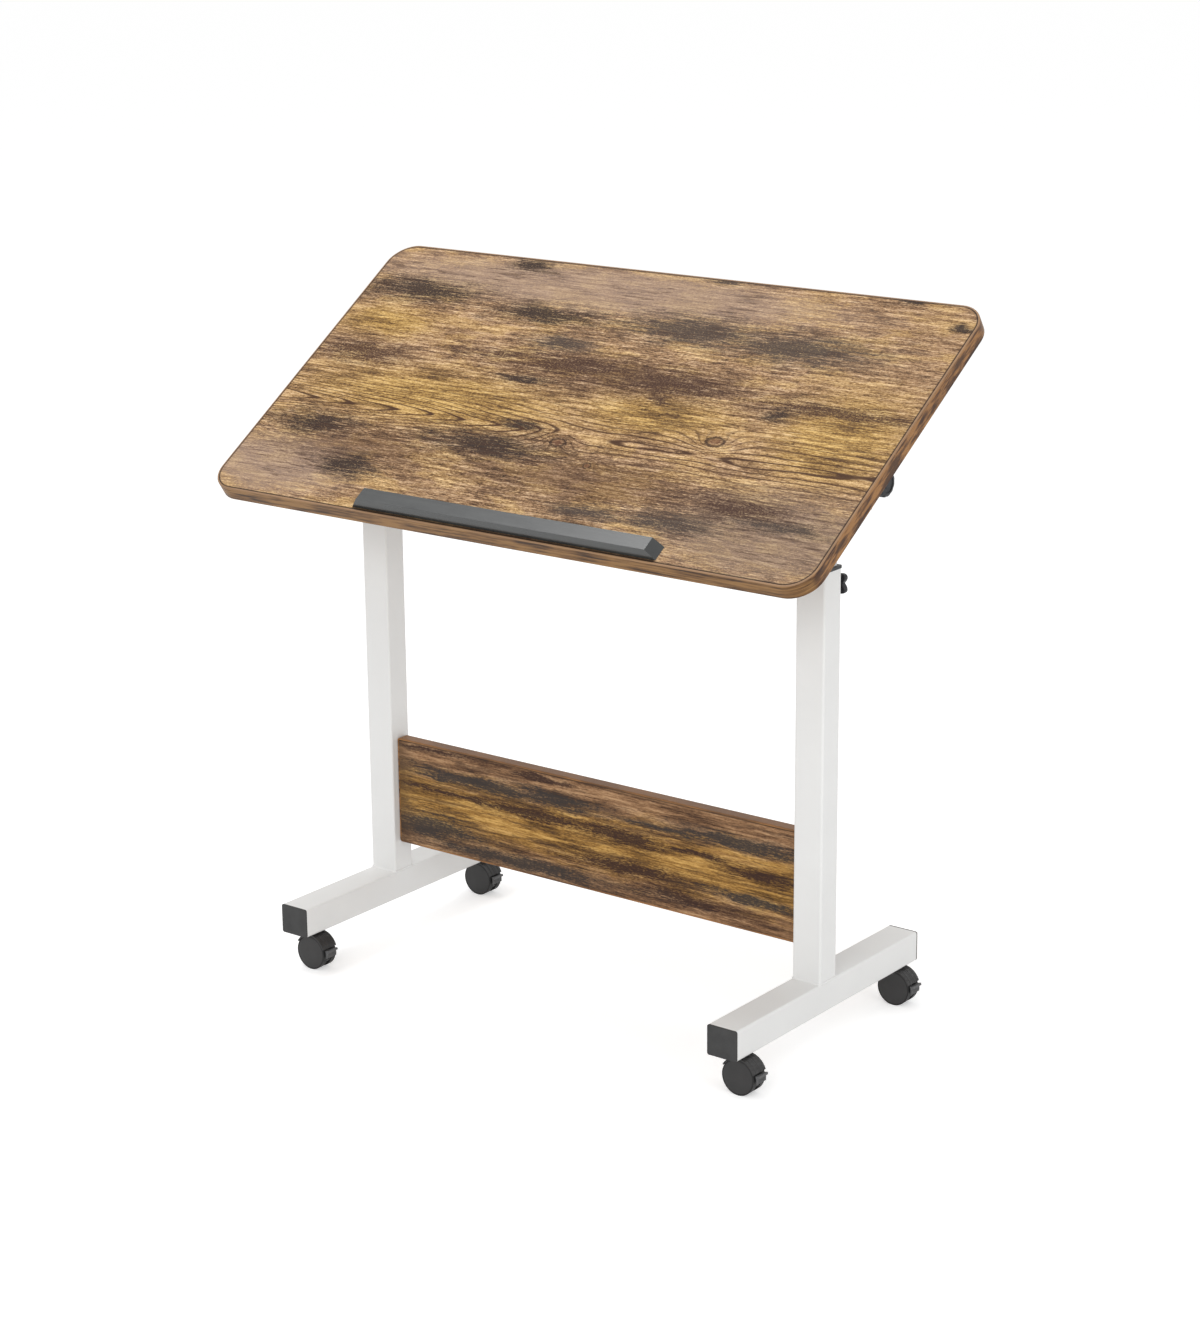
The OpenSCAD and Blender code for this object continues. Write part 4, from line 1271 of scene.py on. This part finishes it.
# Each lamp's name, its place, the point it faces, its width and height, and its power.
LAMPS = (
    ("overhead softbox", (-1.15, -0.1, 3.0), (-1.05, 0, 0), (0.9, 2.0), 25),
    ("right softbox", (3.2, -0.6, 1.5), (0, 0, 0.4), (1.8, 1.6), 17),
    ("front softbox", (1.4, -3.2, 1.9), (0, 0, 0.4), (2.2, 1.6), 42),
)


def stand(name, data, matrix):
    """Puts a lamp or a camera in the scene."""
    holder = bpy.data.objects.new(name, data)
    bpy.context.scene.collection.objects.link(holder)
    holder.matrix_world = matrix
    return holder


def area_lamp(name, at, towards, size, power):
    """A softbox at a place, facing a point."""
    lamp = bpy.data.lights.new(name, "AREA")
    lamp.shape = "RECTANGLE"
    lamp.size, lamp.size_y = size
    lamp.energy = power
    stand(name, lamp, facing(at, Vector(towards) - Vector(at), "-Z"))


def photo_camera():
    """The camera at the photograph's viewpoint."""
    data = bpy.data.cameras.new("camera")
    data.lens = LENS
    data.sensor_width = FRAME_LONG_SIDE
    data.clip_end = CAMERA_REACH
    turn = (Matrix.Rotation(AZIMUTH, 4, "Z") @ Matrix.Rotation(math.pi / 2 - ELEVATION, 4, "X")
            @ Matrix.Rotation(ROLL, 4, "Z"))
    bpy.context.scene.camera = stand("camera", data, Matrix.Translation(CAMERA_AT) @ turn)


def studio_world():
    """Even light all round, white to the camera and in reflections."""
    world = bpy.context.scene.world or bpy.data.worlds.new("studio")
    bpy.context.scene.world = world
    world.use_nodes = True
    nodes = Nodes(world.node_tree)
    background = nodes.tree.nodes["Background"].inputs
    background["Color"].default_value = (1, 1, 1, 1)
    nodes.give(background["Strength"], nodes.step(nodes.seen(), 0.0, 1.0, WORLD_LIGHT, 1.0))


class DESK_OT_stage(bpy.types.Operator):
    """Make the camera, the pale floor and the soft studio light"""

    bl_idname = "desk.stage"
    bl_label = "Stage"

    def execute(self, context):
        context.scene.view_settings.view_transform = "Standard"
        photo_camera()
        studio_world()
        floor = primitive("plane", size=FLOOR_SIZE)
        floor.name = floor.data.name = "studio_floor"
        f = Finish("pale floor", {"Roughness": 0.9, "Specular IOR Level": 0.0,
                                  "Base Color": tuple(colours().floor),
                                  "Emission Strength": FLOOR_GLOW})
        f.feed(Emission_Color=f.mix(f.seen(), (0, 0, 0, 1), (1, 1, 1, 1)))
        floor.data.materials.append(f.material)
        for lamp in LAMPS:
            area_lamp(*lamp)
        return {"FINISHED"}


class DESK_PT_sidebar(bpy.types.Panel):
    """Lists what makes the desk, and the sizes and colours that a user may change"""

    bl_idname = "DESK_PT_sidebar"
    bl_label = "Tilting Desk"
    bl_space_type = "VIEW_3D"
    bl_region_type = "UI"
    bl_category = "Desk"

    def draw(self, context):
        column = self.layout.column(align=True)
        for operator in OPERATORS:
            column.operator(operator.bl_idname)
        for group in (context.scene.desk_sizes, context.scene.desk_colours):
            box = self.layout.box()
            for key in group.bl_rna.properties.keys():
                if key not in ("rna_type", "name"):
                    box.prop(group, key)


OPERATORS = (DESK_OT_boards, DESK_OT_banding, DESK_OT_ledge, DESK_OT_steelwork,
             DESK_OT_welds, DESK_OT_plastics, DESK_OT_knobs, DESK_OT_hardware, DESK_OT_casters,
             DESK_OT_stage)
CLASSES = (DeskSizes, DeskColours, *OPERATORS, DESK_PT_sidebar)


def register():
    for each in CLASSES:
        bpy.utils.register_class(each)
    bpy.types.Scene.desk_sizes = PointerProperty(type=DeskSizes)
    bpy.types.Scene.desk_colours = PointerProperty(type=DeskColours)


def unregister():
    del bpy.types.Scene.desk_sizes
    del bpy.types.Scene.desk_colours
    for each in reversed(CLASSES):
        bpy.utils.unregister_class(each)


def main():
    """Makes every piece and the stage."""
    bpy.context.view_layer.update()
    register()
    for operator in OPERATORS:
        space, name = operator.bl_idname.split(".")
        getattr(getattr(bpy.ops, space), name)()


if __name__ == "__main__":
    main()
